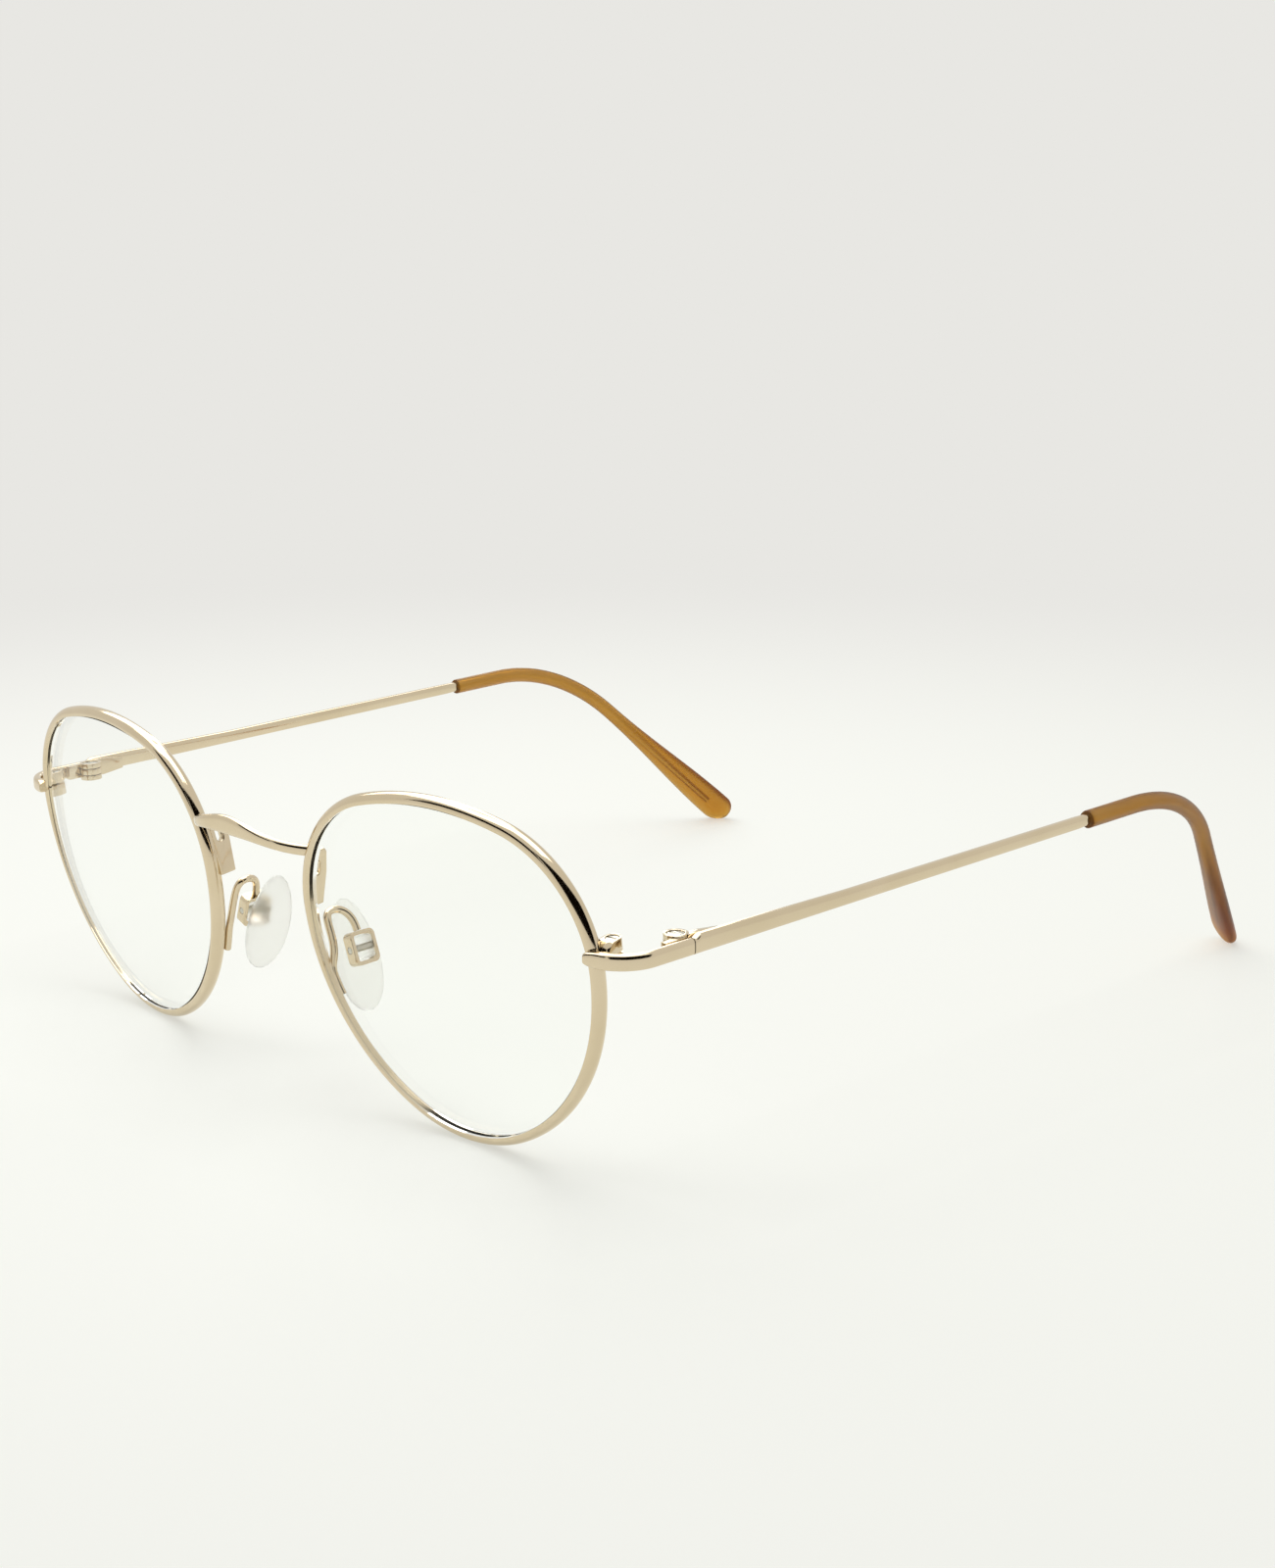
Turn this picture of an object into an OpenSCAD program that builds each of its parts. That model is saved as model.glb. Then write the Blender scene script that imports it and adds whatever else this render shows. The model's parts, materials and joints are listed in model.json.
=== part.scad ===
// Round metal eyeglasses, lying open on a table.
// Two grooved rims close round the lenses at split blocks on the temple side. An arched
// bridge with feet joins them, wire arms carry rocking nose pads, and two temples with
// moulded tips fold on screw hinges behind curved endpieces.
//
// Everything is drawn for the wearer's left side (+X) in the front's own frame: X to the side,
// Y to the back and Z up, with Z = 0 on the widest line of the lenses. The right side is its
// mirror image. The whole is then tilted until the rims and the tips touch the table.

/* [Lenses] */
// Lens width across its bevel
lens_w = 48; // [44:0.5:52]
// Lens height across its bevel
lens_h = 44; // [39:0.5:50]
// Height of the lens above its widest line
brow_h = 17.5; // [15:0.5:19]
// Radius of the flat arc at the top of the lens
top_r = 46; // [36:1:80]
// Half angle of the arc at the bottom of the lens, in degrees
base_half = 26.8; // [20:0.1:40]
// Thickness of a lens at its centre
lens_t = 2; // [1.6:0.1:2.6]
// Radius of the front surface of a lens
lens_curve = 125; // [100:5:200]

/* [Rims] */
// Gap between the lenses at the nose
nose_gap = 21; // [18:0.5:24]
// Backward turn of each rim at the temple side, in degrees
wrap = 5.5; // [0:0.5:8]
// Depth of the rim wire, front to back
rim_d = 2; // [1.7:0.1:2.4]
// Thickness of the rim wire
rim_t = 1.3; // [1.15:0.05:1.6]
// Depth of the lens groove
groove_d = 0.55; // [0.4:0.05:0.65]
// Width of the lens groove
groove_w = 1; // [0.7:0.1:1.2]
// Height of the rim's closing joint above the widest line
joint_h = 2.2; // [1:0.2:4]
// Gap between the two ends of the rim
joint_gap = 0.3; // [0.1:0.1:0.6]

/* [Closing blocks] */
// Height of each half of the closing block
block_h = 1.6; // [1.4:0.1:2.4]
// Width of the closing block, side to side
block_w = 2.2; // [1.9:0.1:2.6]
// Distance from the rim's middle plane back to the rim screw
block_back = 2.3; // [2:0.1:2.6]
// Diameter of the rim screw
rim_screw_d = 1; // [0.8:0.1:1.1]
// Diameter of the rim screw's head
rim_head_d = 1.6; // [1.3:0.1:1.7]

/* [Endpieces] */
// Height of the endpiece strap
strap_h = 2; // [1.8:0.1:2.6]
// Thickness of the endpiece strap
strap_t = 1.25; // [1:0.05:1.5]
// Radius of the endpiece bend, on the strap's middle line
strap_bend_r = 5; // [4:0.25:7]
// Turn of the endpiece bend, in degrees
strap_turn = 75; // [65:1:82]
// Height of the strap's end above the closing joint
strap_rise = 0.4; // [0:0.1:0.6]
// Straight lead of the strap on the rim
strap_lead = 2.1; // [1.6:0.1:2.8]
// Straight run of the strap along the temple
strap_run = 6; // [5:0.1:10]

/* [Hinges] */
// Diameter of the hinge barrels
barrel_d = 3; // [2.6:0.1:3.4]
// Height of the hinge over its three barrels
hinge_h = 2.5; // [2.3:0.1:3.4]
// Height of the temple's middle barrel
mid_barrel_h = 0.9; // [0.7:0.1:1.1]
// Diameter of the hinge screw
hinge_screw_d = 1.4; // [1:0.1:1.5]
// Diameter of the hinge screw's head
hinge_head_d = 2.1; // [1.7:0.1:2.2]
// Distance of the hinge axis in front of the seam
axis_ahead = 0.4; // [0.3:0.1:1]
// Length of the leaf on the endpiece
front_leaf_l = 3.5; // [2.5:0.1:5]
// Length of the leaf on the temple
temple_leaf_l = 5.5; // [4:0.1:8]
// Thickness of the hinge leaves
leaf_t = 0.8; // [0.6:0.05:1]

/* [Temples] */
// Temple length along its middle line, from the seam
temple_l = 146; // [135:1:155]
// Downward slope of the temples from the front, in degrees
temple_pitch = 6.5; // [4:0.5:9]
// Outward spread of the temples, in degrees
temple_splay = 1.6; // [0:0.2:3]
// Height of the temple bar behind its shoulder
shoulder_h = 2.4; // [2:0.1:2.8]
// Length of the shoulder, over which the bar rises from the seam
shoulder_l = 1.2; // [0.6:0.1:2]
// Height of the temple bar at its tip end
bar_end_h = 1.7; // [1.5:0.1:1.8]
// Thickness of the temple bar at its tip end
bar_end_t = 1.3; // [1.1:0.1:1.5]
// Diameter of the core wire inside the tip
core_d = 1.2; // [1:0.1:1.4]

/* [Temple tips] */
// Distance from the seam to the front end of the tip
tip_start = 75.5; // [66:0.5:80]
// Distance from the seam to the start of the ear bend
bend_start = 86; // [82:0.5:95]
// Radius of the ear bend
bend_r = 32; // [24:1:40]
// Turn of the ear bend, in degrees
bend_turn = 48; // [35:1:55]
// Inward roll of the ear bend, in degrees
bend_roll = 21.5; // [10:0.5:25]
// Diameter of the tip at its front end
tip_d = 2.4; // [2.3:0.1:3.4]
// Width of the tip's paddle
paddle_w = 6; // [4.5:0.1:7.5]
// Thickness of the tip's paddle
paddle_t = 2.5; // [2.3:0.1:3.2]
// Twist of the paddle round its middle line, in degrees
paddle_twist = 18; // [0:1:25]

/* [Bridge] */
// Height of the bridge ends above the widest line
bridge_h = 7; // [6:0.2:9]
// Rise of the bridge arch
arch_rise = 2.3; // [1:0.1:4]
// Forward bow of the bridge arch
arch_bow = 3.2; // [2:0.1:5.5]
// Thickness of the bridge wire
bridge_t = 1.1; // [0.9:0.05:1.4]
// Height of the flattened bridge at mid span
bridge_mid_h = 2.6; // [1.6:0.1:3]
// Height of the bridge at the rims
bridge_end_h = 1.5; // [1.2:0.1:2]
// Height of the bridge feet on the rims
foot_h = 4.4; // [3:0.1:5]
// Depth of the U-shaped gap over each bridge foot
foot_gap = 1; // [0.7:0.1:1.3]
// Width of the foot's leg behind that gap
leg_w = 0.75; // [0.6:0.05:1.1]

/* [Nose pads] */
// Height of a nose pad
pad_h = 15; // [12:0.5:16]
// Width of a nose pad
pad_w = 6.8; // [6.4:0.1:8]
// Thickness of a nose pad
pad_t = 2; // [1.6:0.1:2.6]
// Lean of the pads towards each other at the top, in degrees
pad_lean = 19.5; // [12:0.5:25]
// Outward splay of the pads at the back, in degrees
pad_splay = -4; // [-6:1:12]
// Backward tilt of the pads at the top, in degrees
pad_tilt = 7; // [0:0.5:12]
// Distance from the middle plane to the pad's centre
pad_side = 9.8; // [9:0.1:10.6]
// Distance from the rims' middle plane back to the pad's centre
pad_back = 4.5; // [4:0.1:6]
// Distance from the widest line down to the pad's centre
pad_down = 9.5; // [8.5:0.1:11]
// Diameter of the pad arm wire
arm_d = 1; // [0.8:0.05:1.1]
// Angle of the arm's foot round the rim wire, in degrees
arm_tuck = 75; // [60:5:85]
// Distance from the widest line down to the lower end of the arm's foot
arm_low = 12.2; // [11:0.2:13]
// Distance from the widest line down to where the arm leaves the rim
arm_high = 8.8; // [8:0.2:9.6]
// Inward reach of the arm's loop
arm_in = 1.95; // [1.5:0.05:2.4]
// Reach of the arm's loop, front and back of its top
loop_reach = 1.3; // [1:0.1:1.6]
// Height of the pad arm's loop above the pad box
arm_loop = 3.3; // [2.4:0.1:3.8]
// Height of the pad box
box_h = 4.4; // [4:0.1:5.2]
// Width of the pad box
box_w = 3.8; // [3.2:0.1:4.4]
// Depth of the pad box
box_d = 1.6; // [1.4:0.1:2]
// Wall of the pad box
box_wall = 0.5; // [0.4:0.05:0.7]
// Outer radius of the pad box's corners
box_round = 0.8; // [0.75:0.05:1]
// Height of the pad box above the pad's centre
box_up = 0.8; // [0:0.1:2]
// Distance of the pad box in front of the pad's centre
box_ahead = 0.9; // [0:0.1:1.2]
// Gap between the pad and its box
box_off = 1; // [0.5:0.1:1.4]
// Diameter of the pad screw
pad_screw_d = 0.9; // [0.7:0.1:1.1]

/* [Fits] */
// Gap left for solder between brazed pieces
solder = 0.03; // [0.02:0.01:0.06]
// Gap round the lens bevel in its groove
lens_fit = 0.04; // [0.03:0.01:0.08]
// Radial running clearance of a pin in its bore
running = 0.03; // [0.02:0.01:0.05]
// Gap between the faces of pieces that turn on each other
face_gap = 0.08; // [0.06:0.01:0.15]
// Gap of the seam between endpiece and temple
seam_gap = 0.14; // [0.1:0.02:0.3]
// Gap between the pad's lug and its box
lug_gap = 0.15; // [0.12:0.01:0.2]

/* [Hidden] */
$fn = 64;

// Colours of the finishes
gold = "#cfc4a5";
screw_steel = "#c9c6bd";
clear = [0.9, 0.95, 0.97, 0.35];
silicone = [0.93, 0.93, 0.9, 0.7];
amber = "#a5702f";

// Outline of a lens: six arcs that meet smoothly, worked out from its sizes
half_w = lens_w / 2;
drop_h = lens_h - brow_h;
corner_r = (2 * top_r * brow_h - half_w ^ 2 - brow_h ^ 2) / (2 * (top_r - half_w));
side_turn = 90 - base_half;
base_r = (half_w - drop_h * tan(side_turn / 2)) / (1 - tan(side_turn / 2));
side_r = base_r + (drop_h - base_r) / sin(side_turn);
top_half = atan2(half_w - corner_r, top_r - brow_h);

// Each arc is [centre u, centre v, radius, first angle, last angle]
outer_corner = [half_w - corner_r, 0, corner_r, 0, 90 - top_half];
inner_corner = [corner_r - half_w, 0, corner_r, 90 + top_half, 180];
outer_side = [half_w - side_r, 0, side_r, -side_turn, 0];
inner_side = [side_r - half_w, 0, side_r, 180, 180 + side_turn];
top_arc = [0, brow_h - top_r, top_r, 90 - top_half, 90 + top_half];
base_arc = [0, base_r - drop_h, base_r, 180 + side_turn, 360 - side_turn];
outline = [outer_corner, top_arc, inner_corner, inner_side, base_arc, outer_side];

// The rim is split on the outer corner arc, at the joint
joint_angle = asin(joint_h / corner_r);
joint_half = joint_gap / 2 / corner_r * 180 / PI;
rim_arcs = [
    [outer_corner.x, 0, corner_r, joint_angle + joint_half, 90 - top_half],
    top_arc, inner_corner, inner_side, base_arc, outer_side,
    [outer_corner.x, 0, corner_r, 0, joint_angle - joint_half]
];

// Rim section, measured outwards from the lens bevel: a round wire cut flat on the inside
rim_in = lens_fit - groove_d;
rim_out = rim_in + rim_t;
wire_r = rim_d / 2;
wire_mid = rim_out - wire_r;
lens_cx = (nose_gap + lens_w) / 2;

// A point near the rim: arc, angle, distance outwards from the bevel and backwards
function rim_at(arc, angle, out, back) =
    let (u = arc.x + (arc[2] + out) * cos(angle), v = arc.y + (arc[2] + out) * sin(angle))
    [lens_cx + u * cos(wrap) - back * sin(wrap), u * sin(wrap) + back * cos(wrap), v];

// Turns about the axes, as the rotate operation does them
function turn_x(p, a) = [p.x, p.y * cos(a) - p.z * sin(a), p.y * sin(a) + p.z * cos(a)];
function turn_y(p, a) = [p.x * cos(a) + p.z * sin(a), p.y, p.z * cos(a) - p.x * sin(a)];
function turn_z(p, a) = [p.x * cos(a) - p.y * sin(a), p.x * sin(a) + p.y * cos(a), p.z];

// Endpiece: its end sits on the front of the rim, and its bend leads to the seam
strap_bite = strap_t * 0.28;
strap_end = [0, 0, strap_rise]
    + rim_at(outer_corner, joint_angle, rim_in, strap_bite - wire_r - strap_t / 2);
strap_reach = [
    -strap_bend_r * (1 - cos(strap_turn)) - strap_lead * sin(strap_turn),
    -strap_run - strap_bend_r * sin(strap_turn) - strap_lead * cos(strap_turn),
    0
];
function temple_turn(p) = turn_z(turn_x(p, -temple_pitch), -temple_splay);
seam = strap_end - temple_turn(strap_reach);

// Hinge, in the temple's frame: the seam is its origin, Y runs back along the bar
barrel_r = barrel_d / 2;
hinge_x = -strap_t / 2 - face_gap - barrel_r;
hinge_y = -axis_ahead;
end_barrel_h = (hinge_h - mid_barrel_h) / 2 - face_gap;
hinge_bore_r = hinge_screw_d / 2 + running;
head_sink = end_barrel_h * 0.45;

// Temple path: straight, then the ear bend, then straight down to the end
bend_l = bend_r * bend_turn * PI / 180;
function bend_at(s) = min(max((s - bend_start) / bend_r * 180 / PI, 0), bend_turn);
function past(s) = max(s - bend_start - bend_l, 0);
function along(s) = min(s, bend_start) + bend_r * sin(bend_at(s)) + past(s) * cos(bend_turn);
function fall(s) = bend_r * (1 - cos(bend_at(s))) + past(s) * sin(bend_turn);
function path(s) = [-fall(s) * sin(bend_roll), along(s), -fall(s) * cos(bend_roll)];
function path_up(s) =
    let (a = bend_at(s))
    [cos(a) * sin(bend_roll), sin(a), cos(a) * cos(bend_roll)];
path_side = [cos(bend_roll), 0, -sin(bend_roll)];

// A ring of points round p, spanned by two half axes; square = 2 is an ellipse, more is boxier
function ring(p, up, side, square = 2, sides = 16) = [
    for (i = [0:sides - 1])
        let (a = i * 360 / sides, c = cos(a), s = sin(a))
        p + up * sign(c) * abs(c) ^ (2 / square) + side * sign(s) * abs(s) ^ (2 / square)
];
function path_ring(s, half_h, half_t, square = 2) =
    ring(path(s), path_up(s) * half_h, path_side * half_t, square);

// Temple tip: a round sleeve that widens to a paddle with a rounded end
end_round = paddle_w / 2;
paddle_start = bend_start + bend_l;
function ease(f) = let (g = min(max(f, 0), 1)) g * g * (3 - 2 * g);
function tip_widen(s) = ease((s - paddle_start) / (temple_l - end_round - paddle_start));
function cap(s) = let (f = max((s - temple_l + end_round) / end_round, 0)) sqrt(max(1 - f * f, 0));
function tip_half_w(s) = (tip_d + (paddle_w - tip_d) * tip_widen(s)) / 2 * cap(s);
function tip_half_t(s) =
    (tip_d + (paddle_t - tip_d) * tip_widen(s)) / 2 * (cap_keep + (1 - cap_keep) * cap(s));
function tip_ring(s) =
    let (
        c = cos(paddle_twist), n = sin(paddle_twist), up = path_up(s),
        thin = (up * c + path_side * n) * tip_half_t(s),
        wide = (path_side * c - up * n) * tip_half_w(s)
    )
    ring(path(s), thin, wide, tip_square);
bend_steps = 10;
cap_steps = 6;
nib = end_round / 300;
tip_square = 2.3;
cap_keep = 0.35;
tip_stations = [
    tip_start, (tip_start + bend_start) / 2,
    for (i = [0:bend_steps]) bend_start + bend_l * i / bend_steps,
    for (i = [1:3]) paddle_start + (temple_l - end_round - paddle_start) * i / 4,
    for (i = [0:cap_steps - 1]) temple_l - end_round + end_round * sin(90 * i / cap_steps),
    temple_l - nib
];
tip_rings = [for (s = tip_stations) tip_ring(s)];

// Tilt on the table: the tangent from under the rims to the lowest point of the tips
rim_foot_r = base_r + wire_mid;
rim_low = [lens_cx, 0, base_arc.y - rim_foot_r];
function tip_point(p) = seam + temple_turn(p);
tip_points = [for (r = tip_rings) for (p = r) tip_point(p)];
function lay_of(p) =
    let (dy = p.y - rim_low.y, dz = p.z - rim_low.z)
    atan2(-dz, dy) - asin(wire_r / norm([dy, dz]));
lay = max([for (p = tip_points) lay_of(p)]);
laid_points = [for (p = tip_points) turn_x(p, lay)];
table_z = turn_x(rim_low, lay).z - wire_r;
back_y = max([for (p = laid_points) p.y]);

// Bridge: an arch to the rims, turning back along them and down into feet
bridge_angle = 180 - asin(bridge_h / corner_r);
beside = rim_out + bridge_t / 2 + solder;
foot_front = wire_r * 0.4;
bridge_root = rim_at(inner_corner, bridge_angle, beside, -foot_front);
arch_steps = 8;
function arch(f) = let (g = 1 - f ^ 2, h = 1 - f ^ 4) [
    bridge_root.x * f,
    bridge_root.y - arch_bow * h,
    bridge_root.z + arch_rise * g
];
nudge = 0.01;
function arch_dir(f) = arch(f + nudge) - arch(f - nudge);
function unit(v) = v / norm(v);
function arch_side(f) = unit(cross(arch_dir(f), [0, 0, 1]));
flat_to = 0.75;
foot_over = 0.04;
arch_square = 2.6;
function arch_half_h(f) =
    (bridge_mid_h + (bridge_end_h - bridge_mid_h) * ease(f / flat_to)) / 2;
arch_half = [
    for (i = [0:arch_steps])
        let (f = (1 + foot_over) * i / arch_steps)
        ring(arch(f), [0, 0, arch_half_h(f)], arch_side(f) * bridge_t / 2, arch_square)
];
front_y = min([
    for (f = [0:0.05:1]) turn_x(arch(f) - [0, bridge_t / 2, 0], lay).y,
    for (a = [0:2:90]) turn_x(rim_at(inner_corner, 90 + a, wire_mid, -wire_r), lay).y
]);
mid_y = (front_y + back_y) / 2;

// Nose pads: the pad's own frame has X to the side, Y to the back and Z up along the pad
pad_at = [pad_side, pad_back, -pad_down];
function pad_turn(p) = turn_z(turn_y(turn_x(p, -pad_tilt), -pad_lean), -pad_splay);
box_x = pad_t / 2 + box_off + box_d / 2;
box_top = pad_at + pad_turn([box_x, -box_ahead, box_up + box_h / 2 + 2 * solder]);
box_up_dir = pad_turn([0, 0, 1]);
pin_r = pad_screw_d / 2;
lug_w = box_w - 2 * box_wall - 2 * lug_gap;
lug_r = box_h / 2 - box_wall - lug_gap;
neck_h = lug_r * 1.6;

// Pad arm: its foot lies along the rim, its wire rises, loops over and drops into the box
arm_r = arm_d / 2;
arm_off = wire_r + arm_r + solder;
arm_out = wire_mid + arm_off * cos(arm_tuck);
arm_back = arm_off * sin(arm_tuck);
foot_low = 180 + asin(arm_low / side_r);
foot_high = 180 + asin(arm_high / side_r);
arm_foot = [
    for (i = [0:2])
        rim_at(inner_side, foot_low + (foot_high - foot_low) * i / 2, arm_out, arm_back)
];
arm_leave = arm_foot[2];
arm_peak = [arm_leave.x - arm_in, (arm_leave.y + box_top.y) / 2, box_top.z + arm_loop];
loop_side = [0, loop_reach, 0];
leg_top = arm_peak - loop_side - [0, 0, loop_reach / 2];
function curve(a, b, c, d, f) =
    a * (1 - f) ^ 3 + 3 * b * f * (1 - f) ^ 2 + 3 * c * f ^ 2 * (1 - f) + d * f ^ 3;
arm_steps = 8;
arm_rise = [
    for (i = [1:arm_steps])
        curve(arm_leave, arm_leave * 0.2 + leg_top * 0.8, arm_peak - loop_side, arm_peak, i / arm_steps)
];
arm_drop = [
    for (i = [1:arm_steps])
        curve(arm_peak, arm_peak + loop_side, box_top + box_up_dir * loop_reach, box_top, i / arm_steps)
];
arm_points = concat(arm_foot, arm_rise, arm_drop);

// Sets what is drawn in the front's frame down on the table, centred over its footprint
module laid() {
    translate([0, -mid_y, -table_z]) rotate([lay, 0, 0]) children();
}

// The right side is the left one mirrored
module right() {
    mirror([1, 0, 0]) children();
}

// The frame of one rim: X along its width, Z to the front, turned upright
module in_rim() {
    translate([lens_cx, 0, 0]) rotate([0, 0, wrap]) rotate([90, 0, 0]) children();
}

// The frame of the temple: origin at the seam, Y back along the bar
module in_temple() {
    translate(seam) rotate([-temple_pitch, 0, -temple_splay]) children();
}

// The frame of the nose pad
module in_pad() {
    translate(pad_at) rotate([-pad_tilt, -pad_lean, -pad_splay]) children();
}

// Sweeps a section, drawn from the lens bevel outwards, round one arc of the outline
module round_arc(arc) {
    translate([arc.x, arc.y, 0])
        rotate([0, 0, arc[3]])
            rotate_extrude(angle = arc[4] - arc[3], $fn = 240)
                translate([arc[2], 0])
                    children();
}

// Section of the rim wire, grown by a gap where another piece is cut to fit it
module rim_section(grow = 0) {
    intersection() {
        translate([wire_mid, 0]) circle(r = wire_r + grow);
        translate([rim_in - grow, -rim_d]) square([2 * rim_d, 2 * rim_d]);
    }
}

// Joins rings of points into one closed skin
module skin(rings) {
    sides = len(rings[0]);
    last = len(rings) - 1;
    polyhedron(
        points = [for (r = rings) for (p = r) p],
        faces = concat(
            [[for (i = [0:sides - 1]) i]],
            [
                for (k = [0:last - 1])
                    for (i = [0:sides - 1])
                        let (j = (i + 1) % sides, a = k * sides, b = a + sides)
                        each [[a + i, b + i, a + j], [a + j, b + i, b + j]]
            ],
            [[for (i = [sides - 1:-1:0]) last * sides + i]]
        )
    );
}

// Grooved rim wire, open at the closing joint
module rim() {
    in_rim() for (arc = rim_arcs)
        round_arc(arc)
            difference() {
                rim_section();
                polygon([
                    [rim_in - lens_fit, groove_w / 2 * (groove_d + lens_fit) / groove_d],
                    [lens_fit, 0],
                    [rim_in - lens_fit, -groove_w / 2 * (groove_d + lens_fit) / groove_d]
                ]);
            }
}

// Lens outline moved in from the bevel, as a ring of points at one height
arc_points = 14;
function lens_ring(inset, z) = [
    for (arc = outline)
        for (i = [0:arc_points - 1])
            let (a = arc[3] + (arc[4] - arc[3]) * i / arc_points, r = arc[2] - inset)
            [arc.x + r * cos(a), arc.y + r * sin(a), z]
];

// Meniscus lens whose edge has a V bevel that lies in the rim's groove
module lens() {
    edge = lens_fit - rim_in;
    flank = groove_w / 2 * edge / groove_d;
    reach = lens_w / 4;
    apex = (lens_w + lens_h) ^ 2 / (32 * lens_curve) + lens_t * 0.4;
    back_r = lens_curve - lens_t / 3;
    in_rim() intersection() {
        skin([
            lens_ring(edge, reach), lens_ring(edge, flank), lens_ring(0, 0),
            lens_ring(edge, -flank), lens_ring(edge, -reach)
        ]);
        translate([0, brow_h - lens_h / 2, 0]) rotate_extrude($fn = 180)
            intersection() {
                difference() {
                    translate([0, apex - lens_curve]) circle(r = lens_curve, $fn = 1440);
                    translate([0, apex - lens_t - back_r]) circle(r = back_r, $fn = 1440);
                }
                translate([0, -reach]) square([lens_w, 2 * reach]);
            }
    }
}

// Space taken by the outer rim at the closing joint, with its gap
joint_reach = (block_h + strap_h) / corner_r * 180 / PI;
module rim_space(gap) {
    in_rim()
        round_arc([outer_corner.x, 0, corner_r, joint_angle - joint_reach, joint_angle + joint_reach])
            rim_section(gap);
}

// Space taken by the inner rim at the bridge, with its gap
foot_reach = (bridge_end_h + foot_h) / corner_r * 180 / PI;
module inner_rim_space(gap) {
    in_rim()
        round_arc([inner_corner.x, 0, corner_r, bridge_angle - foot_reach, bridge_angle + 2 * foot_reach])
            rim_section(gap);
}

// Endpiece strap: one bar from the seam round its bend to the rounded end on the rim
strap_steps = 9;
strap_square = 3.2;
end_share = 0.55;
function strap_ring(p, turn, half_h = strap_h / 2) =
    ring(p, [0, 0, half_h], [cos(turn), -sin(turn), 0] * strap_t / 2, strap_square);
module strap() {
    lead = [-sin(strap_turn), -cos(strap_turn), 0];
    in_temple() skin(concat(
        [strap_ring([0, -seam_gap / 2, 0], 0)],
        [
            for (i = [0:strap_steps])
                let (t = strap_turn * i / strap_steps)
                strap_ring([strap_bend_r * (cos(t) - 1), -strap_run - strap_bend_r * sin(t), 0], t)
        ],
        [
            for (a = [20:20:80])
                strap_ring(
                    strap_reach - lead * strap_lead * (1 - sin(a)),
                    strap_turn, strap_h / 2 * (end_share + (1 - end_share) * cos(a))
                )
        ]
    ));
}

module endpiece() {
    difference() {
        strap();
        rim_space(solder);
    }
}

// Closing block: each half is a rounded post behind the rim's end, bored for the screw
rim_head_sink = block_h * 0.3;
block_inset = rim_in + block_w / 2 + 4 * lens_fit;
block_mid = rim_at(outer_corner, joint_angle, block_inset, block_back);
module block_half(side, reach) {
    dome_r = block_h * 1.5;
    dome_sink = block_h * 0.2;
    level = side > 0 ? joint_h + joint_gap / 2 : joint_h - joint_gap / 2 - block_h;
    difference() {
        translate([block_mid.x, block_mid.y, level])
            rotate([0, 0, wrap])
                intersection() {
                    union() {
                        cylinder(h = block_h, r = block_w / 2);
                        translate([-block_w / 2, -reach, 0]) cube([block_w, reach, block_h]);
                    }
                    translate([0, 0, side > 0 ? -dome_sink : block_h + dome_sink])
                        sphere(r = dome_r);
                }
        rim_space(solder);
        translate([block_mid.x, block_mid.y, joint_h - 2 * block_h])
            cylinder(h = 4 * block_h, r = rim_screw_d / 2 + solder);
        translate([block_mid.x, block_mid.y, joint_h + joint_gap / 2 + block_h - rim_head_sink])
            cylinder(h = block_h, r = rim_head_d / 2 + solder);
    }
}

// The upper half reaches forward to the hollow side of the endpiece's bend
module upper_block() {
    intersection() {
        block_half(1, block_back);
        in_temple()
            translate([-strap_bend_r, -strap_run, -2 * block_h])
                cylinder(h = 4 * block_h, r = strap_bend_r - strap_t / 2 - solder, $fn = 128);
    }
}

module lower_block() {
    block_half(-1, block_back - wire_r / 2);
}

// Screw with a slotted head, standing along Z with its head's top at height 0
module slotted_screw(shank_d, shank_l, head_d, head_h) {
    slot_w = head_d * 0.18;
    slot_d = head_h * 0.45;
    difference() {
        union() {
            translate([0, 0, -head_h]) cylinder(h = head_h, r = head_d / 2);
            translate([0, 0, -shank_l]) cylinder(h = shank_l - head_h / 2, r = shank_d / 2);
        }
        translate([-head_d, -slot_w / 2, -slot_d]) cube([2 * head_d, slot_w, head_h]);
    }
}

module rim_screw() {
    below = face_gap;
    top = joint_h + joint_gap / 2 + block_h - below;
    translate([block_mid.x, block_mid.y, top])
        slotted_screw(rim_screw_d, 2 * block_h - below, rim_head_d, rim_head_sink - below - solder);
}

// Moves to the hinge axis at the middle of the barrels
module at_axis() {
    translate([hinge_x, hinge_y, 0]) children();
}

// Round room that a turning barrel needs in the other leaf
module barrel_room(low, high) {
    translate([0, 0, low]) cylinder(h = high - low, r = barrel_r + face_gap);
}

// Leaf and two end barrels brazed to the endpiece
module front_hinge() {
    mid = mid_barrel_h / 2 + face_gap;
    in_temple() difference() {
        union() {
            at_axis() for (z = [mid, -mid - end_barrel_h])
                translate([0, 0, z]) cylinder(h = end_barrel_h, r = barrel_r);
            difference() {
                translate([-strap_t / 2 - solder - leaf_t, -front_leaf_l, -strap_h / 2])
                    cube([leaf_t, front_leaf_l - seam_gap / 2, strap_h]);
                at_axis() barrel_room(-mid, mid);
                translate([-strap_t - leaf_t, hinge_y, -mid]) cube([strap_t + leaf_t, axis_ahead, 2 * mid]);
            }
        }
        at_axis() translate([0, 0, -hinge_h]) cylinder(h = 2 * hinge_h, r = hinge_screw_d / 2 + solder);
        at_axis() translate([0, 0, hinge_h / 2 - head_sink])
            cylinder(h = hinge_h, r = hinge_head_d / 2 + solder);
    }
}

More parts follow.
